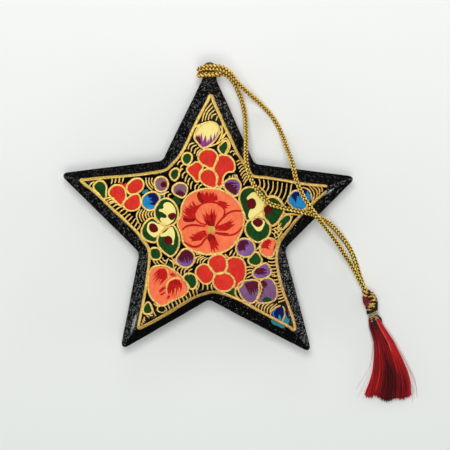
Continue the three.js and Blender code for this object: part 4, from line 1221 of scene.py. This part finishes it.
def addPainting():
    body = bpy.data.objects["star_body"].data
    surface = BVHTree.FromPolygons([v.co for v in body.vertices], [p.vertices for p in body.polygons])
    daubs, strokes, fans = [{name: [] for name in paint["colours"]} for kind in range(3)]
    gold = [([onFace(region, place) for region, run in border for place in run], paint["border"], False)]
    count = 0
    for region in regions:
        for level, kind in enumerate(("ringed", "plain", "feathers", "details")):
            for colour, places in region.get(kind, []):
                points = allOnFace(region, places)
                height = paint["face"] - paint["sunk"] + level * paint["level"] + count * paint["shuffle"]
                daubs[colour].append(daub(points, height, kind == "feathers"))
                count += 1
                if kind == "ringed":
                    gold.append((widened(points, paint["ringAway"]), paint["ring"], True))
        for colour, place, radius in region.get("spots", []):
            ring = []
            for i in range(paint["spotSteps"]):
                turn = 2 * math.pi * i / paint["spotSteps"]
                away = Vector((math.cos(turn), math.sin(turn), 0)) * radius * region["unit"]
                ring.append(onFace(region, place) + away)
            daubs[colour].append(daub(ring, paint["face"] + paint["spotLevel"] * paint["level"], False))
        for colour, half, places in region.get("strokes", []):
            strokes[colour].append((allOnFace(region, places), half, False))
        for colour, root, ends, hairs in region.get("fans", []):
            fans[colour].append((region, root, ends, hairs))
        for places in region.get("lines", []):
            gold.append((allOnFace(region, places), paint["line"], False))
        for rows, first, last in region.get("hatch", []):
            for i in range(rows):
                share = i / (rows - 1)
                arc = [onFace(region, a).lerp(onFace(region, b), share) for a, b in zip(first, last)]
                gold.append((arc, paint["hatch"], False))
    strokeHeight = paint["face"] + paint["strokeLevel"] * paint["level"]
    fanHeight = paint["face"] + paint["fanLevel"] * paint["level"]
    for colour, (thick, thin) in paint["colours"].items():
        parts = [(divided(mesh), 0) for mesh in daubs[colour]]
        if strokes[colour]:
            parts.append((brushLines(strokes[colour], strokeHeight), 0))
        if fans[colour]:
            parts.append((brushFans(fans[colour], fanHeight), 0))
        newPiece("paint_" + colour, drape(joined("paint_" + colour, parts), surface), "star", "lacquer",
                 paintMaterial("paint_" + colour, thick, thin))
    goldMesh = drape(brushLines(gold, paint["face"] + paint["raised"]), surface)
    newPiece("gold_lines", goldMesh, "star", "lacquer", goldPaintMaterial())
    print("painting", count, "daubs", len(gold), "gold lines", len(goldMesh.polygons), "faces of gold")


addPainting()

# tassel: wrapped head, bound neck and a skirt of silk threads
tassel = {
    "top": (49.25, -26.4, 2.32), "bearing": -72.9, "headLength": 7.2, "headRadius": 1.75,
    "eggStretch": 1.06, "eggLeast": 0.12,   # the egg runs on past the head's ends and is cut blunt there
    "bow": 0.45,   # the head leans out to the right between its ends
    "knobSides": (40, 24), "knobSmooth": 60,
    "knobRough": (900, 0.12), "knobTint": (0.4, 0.2, 1500),   # scale and mm; base, change and scale
    "turnSteps": 28, "turnSways": 4,   # places and sways in one turn of a coil
    "yarns": {   # radius, plies and pitch
        "gold": (0.24, 3, 1.5), "black": (0.25, 2, 0.9), "blackLow": (0.275, 2, 0.9), "neck": (0.26, 2, 0.9),
        "tail": (0.3, 2, 0.9), "lump": (0.3, 3, 1.0),
    },
    "coils": {
        "gold": {"start": 0.75, "turns": 4, "pitch": 1.35, "lift": 0.2, "tilt": 0.75, "phase": 0.6,
                 "wobble": 0.3, "seed": 3},
        "black": {"start": 1.45, "turns": 4, "pitch": 1.35, "lift": 0.24, "tilt": 0.75, "phase": 0.9,
                  "wobble": 0.25, "seed": 5},
        "blackLow": {"start": 6.3, "turns": 2.4, "pitch": 0.3, "lift": 0.25, "tilt": 0.1, "phase": 2.0,
                     "wobble": 0.08, "seed": 9, "radius": 1.35},
        "neck": {"start": 7.3, "turns": 3.5, "pitch": 2.3 / 3.5, "lift": 0.12, "tilt": 0.15, "phase": 0.2,
                 "wobble": 0.1, "seed": 11, "radius": 1.12},
    },
    "lumpPoints": 5, "lumpStep": 0.36, "lumpSlant": 0.8, "lumpLift": 0.42, "lumpFall": 0.12,
    "goldLumps": [   # angle round the head from its right, mm from its top, slope
        (0.7, 1.7, 0.7), (1.0, 2.3, 0.6), (0.65, 3.0, -0.4), (0.95, 3.6, 0.3), (1.5, 4.5, 0.3),
        (1.9, 4.9, -0.4), (1.4, 5.3, 0.5), (2.2, 6.0, 0.4), (2.2, 1.3, 0.9), (1.7, 0.6, 0.9),
    ],
    "blackLumps": [(0.5, 4.6, 0.4), (0.6, 5.3, 0.4), (0.45, 5.9, 0.3), (1.35, 1.4, 0.8), (1.5, 2.9, 0.6)],
    "redLumps": [
        (2.3, 3.1, 3.2), (2.55, 3.4, 3.0), (2.8, 3.6, 2.6), (2.05, 2.7, 2.4), (0.9, 0.35, 0.5),
        (2.5, 0.2, 0.9),
    ],
    "tails": [   # ends of the binding thread
        [(52.0, -34.2, 3.3), (53.1, -34.4, 3.0), (53.9, -35.2, 2.5), (54.1, -36.1, 2.0), (53.8, -36.8, 1.8)],
        [(51.8, -34.8, 3.6), (52.0, -36.0, 3.6), (52.4, -37.2, 3.5), (52.8, -38.6, 3.2)],
        [(51.5, -34.9, 3.6), (51.7, -36.2, 3.55), (52.3, -37.6, 3.4), (52.5, -38.2, 3.2)],
    ],
}
skirt = {
    "threads": 900, "hairs": 12, "threadRadius": 0.07, "hairShare": 0.3, "steps": 16,
    "left": [(50.75, -33.8), (50.3, -35.3), (50.5, -38.0), (51.95, -42.0), (52.1, -46.8), (51.75, -51.7),
             (50.85, -55.2), (49.35, -59.1)],
    "right": [(52.35, -33.4), (53.5, -35.5), (55.05, -38.0), (57.7, -42.0), (60.1, -46.8), (62.25, -51.7),
              (63.25, -55.2), (63.4, -59.2)],
    "hem": [0.0, 0.4, -0.3, 0.4, 1.2, 1.4, 0.9, 0.6, 0.9, 0.4, 0.0],   # mm beyond the line from left to right
    "locks": 40, "lockAt": (0.1, 0.9), "lockTint": (-0.26, 0.12), "lockSpread": 0.03,
    "stray": 0.16, "wave": 0.08, "waves": 7, "phase": 6.28, "ragged": 0.4, "ownTint": 0.12,
    "hairAt": (-0.02, 1.02), "hairStray": (0.2, 2.4), "hairWave": 0.35, "hairRagged": 1.4,
    "settle": (0.05, 0.95), "neckLevel": 2.32, "neckDepth": 1.8, "neckEdge": 0.35,   # levels and depths in mm
    "floorLevel": 0.12, "edgeDepth": 0.5, "crownDepth": 1.6,
    "tint": 0.42, "edgeTint": (0.12, 1.0, 0.1),   # strength, share across and width; grows towards the hem
    "patches": [   # bright or dark, the dark patch in the hem's middle being painted shade: strength, share across, width, shares down where it starts and is full
        (0.24, 0.84, 0.17, 0.85, 0.5), (0.14, 0.03, 0.16, 0.5, 0.85), (-0.36, 0.52, 0.22, 0.45, 0.75),
        (-0.26, 0.14, 0.13, 0.5, 0.2),
    ],
    "partings": [   # painted shade in the gaps between locks: share across and share down at each end
        (0.12, 0.0, 0.14, 0.45), (0.45, 0.1, 0.67, 0.5), (0.34, 0.48, 0.56, 0.74), (0.6, 0.3, 0.77, 0.66),
        (0.27, 0.12, 0.31, 0.52), (0.86, 0.6, 0.9, 1.0), (0.7, 0.7, 0.74, 1.0), (0.08, 0.6, 0.05, 0.95),
    ],
    "partingShade": 0.3, "partingWidth": 0.018,
    # a painted highlight streak down a few threads
    "paleHighlight": 0.36, "paleAt": 0.19, "paleHalf": 0.025, "paleAbove": 0.6, "paleDown": (0.42, 0.95),
}


def tasselFrame():   # top of the head, then the directions along, across and up
    turn = math.radians(tassel["bearing"])
    along = Vector((math.cos(turn), math.sin(turn), 0.0))
    return Vector(tassel["top"]), along, Vector((-along.y, along.x, 0.0)), Vector((0, 0, 1))


def headRadius(d):   # the egg of the head, d mm from its top
    half = tassel["headLength"] / 2
    share = 1 - ((d - half) / (half * tassel["eggStretch"])) ** 2
    return tassel["headRadius"] * math.sqrt(max(tassel["eggLeast"], share))


def headMiddle(d):
    top, along, side, up = tasselFrame()
    share = min(1.0, max(0.0, d / tassel["headLength"]))
    return top + along * d + side * tassel["bow"] * math.sin(math.pi * share)


def roundHead(d, angle, radius):   # a place round the head's middle line
    side, up = tasselFrame()[2:]
    return headMiddle(d) + (side * math.cos(angle) + up * math.sin(angle)) * radius


def coil(start, turns, pitch, lift, tilt, phase, wobble, seed, radius=None):
    steps, sways = tassel["turnSteps"], tassel["turnSways"]
    shake = random.Random(seed)
    sway = [shake.uniform(-1, 1) for i in range(int(turns * sways) + sways)]
    points = []
    for i in range(int(turns * steps) + 1):
        gone = i / steps
        angle = 2 * math.pi * gone + phase
        a, b, share = sway[int(gone * sways)], sway[int(gone * sways) + 1], gone * sways % 1
        d = start + pitch * gone + (a + (b - a) * share) * wobble - tilt * math.cos(angle)
        points.append(roundHead(d, angle, (radius or headRadius(d)) + lift))
    return points


def yarnCoil(name):
    return twisted(coil(**tassel["coils"][name]), *tassel["yarns"][name])


def lumps(places):   # short ends and loops of the cord that stand out of the knot
    middle = tassel["lumpPoints"] // 2
    lines = []
    for angle, d, slope in places:
        points = []
        for j in range(tassel["lumpPoints"]):
            across = (j - middle) * tassel["lumpStep"]
            turn = angle + across * tassel["lumpSlant"] / tassel["headRadius"]
            place = d - across * slope * tassel["lumpSlant"]
            lift = tassel["lumpLift"] - tassel["lumpFall"] * abs(j - middle)
            points.append(roundHead(place, turn, headRadius(place) + lift))
        lines += twisted(points, *tassel["yarns"]["lump"])
    return lines


def alongStations(stations, t):
    nearEnd = 0.9999   # keeps the last place inside the last pair
    place = min(t, nearEnd) * (len(stations) - 1)
    i = int(place)
    share = place - i
    return stations[i] * (1 - share) + stations[i + 1] * share


def silkMaterial():
    look = {"grainScale": 2200.0, "spread": 0.4, "uneven": 0.16, "roughness": 0.45, "gloss": 0.2,
            "toneRamp": [(0.0, srgb(46, 0, 8)), (0.33, srgb(136, 10, 20)), (0.62, srgb(196, 22, 30)),
                    # colours along the tint, which carries painted light and shade; the palest stop is the
                    # painted highlight
                    (0.86, srgb(238, 46, 40)), (1.0, srgb(228, 150, 150))]}
    material, tree, shader = newMaterial("red_silk", Roughness=look["roughness"],
                                         Specular_IOR_Level=look["gloss"])
    tint = addNode(tree, "ShaderNodeAttribute", {"attribute_name": "tint"})
    grain = useGroup(tree, grainGroup, Scale=look["grainScale"], Spread=look["spread"])
    tone = addNode(tree, "ShaderNodeMath", {"operation": "MULTIPLY_ADD"})
    tone.inputs[1].default_value = look["uneven"]
    tree.links.new(grain.outputs["Mask"], tone.inputs[0])
    tree.links.new(tint.outputs["Fac"], tone.inputs[2])
    tree.links.new(ramp(tree, tone.outputs[0], look["toneRamp"]), shader.inputs["Base Color"])
    return material


def addKnob(silk):
    top, along, side, up = tasselFrame()
    around, down = tassel["knobSides"]
    roughScale, rough = tassel["knobRough"]
    base, change, tintScale = tassel["knobTint"]
    turn = Matrix((side, along, up)).transposed().to_4x4()
    grow = Matrix.Diagonal((tassel["headRadius"], tassel["headLength"] / 2, tassel["headRadius"], 1))
    middle = Matrix.Translation((top + along * tassel["headLength"] / 2) * mm)
    bm = bmesh.new()
    bmesh.ops.create_uvsphere(bm, u_segments=around, v_segments=down, radius=mm, matrix=middle @ turn @ grow)
    for vert in bm.verts:
        d = (vert.co / mm - top).dot(along)
        lean = headMiddle(d) - top - along * d
        vert.co += noise.noise_vector(vert.co * roughScale) * rough * mm + lean * mm
    head = meshOf(bm, "tassel_knob", tassel["knobSmooth"])
    tint = head.attributes.new("tint", "FLOAT", "POINT")
    tint.data.foreach_set("value", [base + change * noise.noise(v.co * tintScale) for v in head.vertices])
    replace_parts(newPiece("tassel_knob", head, "tassel", "silk", silk), "tassel_head")


def addTassel():
    silk = silkMaterial()
    goldThread = yarnMaterial("gold_thread", srgb(255, 232, 110), srgb(170, 112, 30), 0.2, 0.34)
    blackThread = yarnMaterial("black_thread", srgb(26, 18, 18), srgb(9, 6, 7), 0.0, 0.6)
    redThread = yarnMaterial("red_thread", srgb(150, 22, 28), srgb(76, 6, 12), 0.0, 0.5)
    khakiThread = yarnMaterial("khaki_thread", srgb(222, 200, 140), srgb(124, 102, 58), 0.1, 0.5)
    addKnob(silk)
    goldPly, blackPly, redPly = yarnCoil("gold")
    blackTurns = yarnCoil("black") + yarnCoil("blackLow")
    wraps = joined("wraps", [
        (tubes("gold", [goldPly, *lumps(tassel["goldLumps"])]), 0),
        (tubes("black", [blackPly, *blackTurns, *lumps(tassel["blackLumps"])]), 1),
        (tubes("red", [redPly, *lumps(tassel["redLumps"])]), 2),
    ])
    piece = newPiece("head_wraps", wraps, "tassel", "gold_thread", goldThread, blackThread, redThread)
    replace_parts(piece, "head_wrap")
    parts = [(tubes("khaki", yarnCoil("neck")), 0)]
    for tail in tassel["tails"]:
        parts.append((tubes("tail", twisted([Vector(p) for p in tail], *tassel["yarns"]["tail"])), 1))
    neck = joined("neck", parts)
    piece = newPiece("neck_thread", neck, "tassel", "binding_thread", khakiThread, blackThread)
    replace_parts(piece, "neck_binding")
    addSkirt(silk)


def silkTint(across, t):   # bright on the right and at the lower left; painted shade darkens the hem's middle and the gaps between locks
    def near(place, width):
        return math.exp(-((across - place) / width) ** 2)
    strength, place, width = skirt["edgeTint"]
    tint = skirt["tint"] + strength * near(place, width) * t
    for strength, place, width, start, full in skirt["patches"]:
        tint += strength * near(place, width) * smoothRise(t, start, full)
    for first, start, last, stop in skirt["partings"]:
        if start < t < stop:
            place = first + (last - first) * (t - start) / (stop - start)
            tint -= skirt["partingShade"] * near(place, skirt["partingWidth"])
    return tint


def addSkirt(silk):
    strew = random.Random(21)
    lefts, rights = [Vector(p) for p in skirt["left"]], [Vector(p) for p in skirt["right"]]
    lines, tints, locks = [], [], []
    for i in range(skirt["locks"]):
        lockAt = (i + strew.uniform(*skirt["lockAt"])) / skirt["locks"]
        locks.append((lockAt, strew.uniform(*skirt["lockTint"])))
    for number in range(skirt["threads"] + skirt["hairs"]):
        loose = number >= skirt["threads"]   # a single hair that has come out of the bundle
        lockAt, lockTint = locks[number % len(locks)]
        across = strew.choice(skirt["hairAt"]) if loose else lockAt + strew.gauss(0, skirt["lockSpread"])
        inside = min(1.0, max(0.0, across))
        if not loose:
            across = inside
        above = strew.random()
        if loose:
            stray = strew.uniform(*skirt["hairStray"]) * (1 if across > 0.5 else -1)
        else:
            stray = strew.gauss(0, skirt["stray"])
        wave = strew.gauss(0, skirt["hairWave"] if loose else skirt["wave"])
        phase = strew.uniform(0, skirt["phase"])
        ragged = strew.gauss(0, skirt["hairRagged"] if loose else skirt["ragged"])
        beyond = alongStations(skirt["hem"], inside) + ragged
        ownTint = strew.gauss(0, skirt["ownTint"])
        crown = math.sqrt(max(0.0, 1 - (2 * inside - 1) ** 2))   # the bundle is thickest in its middle
        edge = skirt["neckEdge"]
        high = skirt["neckLevel"] + (above - 0.5) * skirt["neckDepth"] * (edge + (1 - edge) * crown)
        low = skirt["floorLevel"] + above * (skirt["edgeDepth"] + skirt["crownDepth"] * crown)
        # these threads carry a painted highlight streak
        highlightThread = abs(across - skirt["paleAt"]) < skirt["paleHalf"] and above > skirt["paleAbove"]
        points, shades = [], []
        for i in range(skirt["steps"] + 1):
            t = i / skirt["steps"]
            spot = alongStations(lefts, t).lerp(alongStations(rights, t), across)
            sway = stray * t * t + wave * t * math.sin(phase + skirt["waves"] * t)
            height = high + (low - high) * smoothRise(t, *skirt["settle"])
            points.append(Vector((spot.x + sway, spot.y - beyond * t, height)) * mm)
            pale = highlightThread and skirt["paleDown"][0] < t < skirt["paleDown"][1]
            shades.append(silkTint(across, t) + lockTint + ownTint + (skirt["paleHighlight"] if pale else 0.0))
        radius = skirt["threadRadius"] * (skirt["hairShare"] if loose else 1.0) * mm
        lines.append((points, [radius] * len(points)))
        tints.append(shades)
    mesh = tubes("skirt", lines, roundness=0)
    rings = []   # the caps come first, backwards
    for shades in reversed(tints):
        rings += [shades[-1], shades[0]]
    for shades in tints:
        rings += shades
    sides = len(mesh.vertices) // len(rings)
    tint = mesh.attributes.new("tint", "FLOAT", "POINT")
    tint.data.foreach_set("value", [shade for shade in rings for side in range(sides)])
    piece = newPiece("silk_skirt", mesh, "tassel", "silk", silk)
    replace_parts(piece, *["silk_lock_" + str(number) for number in range(1, 10)])
    print("skirt", len(mesh.polygons), "faces", sides, "sides")


addTassel()


# floor, light and sky
def addLamp(name, bearing, elevation, distance, width, height, power):
    data = bpy.data.lights.new(name, "AREA")
    data.shape = "ELLIPSE"
    data.size = width
    data.size_y = height
    data.energy = power
    lamp = bpy.data.objects.new(name, data)
    turn, lift = math.radians(bearing), math.radians(elevation)
    towards = Vector((math.cos(turn) * math.cos(lift), math.sin(turn) * math.cos(lift), math.sin(lift)))
    lamp.location = towards * distance
    lamp.rotation_euler = towards.to_track_quat("Z", "Y").to_euler()
    scene.collection.objects.link(lamp)


def addFloor():
    look = {"half": 3.0, "below": 0.05, "nearAt": -0.08, "farAt": 0.08, "near": srgb(236, 240, 236),
            "far": srgb(254, 255, 253), "dim": (0.03, 0.03, 0.03, 1.0), "roughness": 0.9}
    bm = bmesh.new()
    bmesh.ops.create_grid(bm, x_segments=1, y_segments=1, size=look["half"],
                          matrix=Matrix.Translation((0, 0, -look["below"] * mm)))
    material, tree, shader = newMaterial("pale_floor", Roughness=look["roughness"], Specular_IOR_Level=0.0)
    rays = tree.nodes.new("ShaderNodeLightPath").outputs
    share = shareOf(tree, placeParts(tree)["Y"], look["nearAt"], look["farAt"])
    sheet = ramp(tree, share, [(0.0, look["near"]), (1.0, look["far"])])   # painted shade: a little darker on the near side
    tone = mixed(tree, rays["Is Glossy Ray"], sheet, look["dim"])   # lacquer sees a dim table round the sheet
    tree.links.new(tone, shader.inputs["Base Color"])
    floor = bpy.data.objects.new("floor", meshOf(bm, "floor"))
    floor.data.materials.append(material)
    scene.collection.objects.link(floor)


def addSky():
    look = {"light": (0.22, 0.222, 0.224, 1.0), "seen": srgb(240, 241, 239),
            "dim": (0.035, 0.035, 0.037, 1.0)}
    world = bpy.data.worlds.new("sky")
    scene.world = world
    world.use_nodes = True
    tree = world.node_tree
    rays = tree.nodes.new("ShaderNodeLightPath").outputs
    colour = mixed(tree, rays["Is Camera Ray"], look["light"], look["seen"])
    colour = mixed(tree, rays["Is Glossy Ray"], colour, look["dim"])   # lacquer sees a dim room
    tree.links.new(colour, tree.nodes["Background"].inputs["Color"])


lamps = [   # name, bearing and elevation in degrees, distance, width and height in metres, power in watts
    ("key", 100, 72, 0.7, 0.34, 0.34, 2.0),
    ("fill", 275, 72, 0.7, 0.34, 0.34, 1.22),
    ("left_window", 184, 10, 0.9, 1.4, 0.28, 2.7),
    ("far_window", 95, 26, 0.9, 0.9, 0.2, 0.7),
    ("right_window", 2, 10, 0.9, 0.9, 0.28, 2.6),
]
for lamp in lamps:
    addLamp(*lamp)
addFloor()
addSky()
print("stage lit")
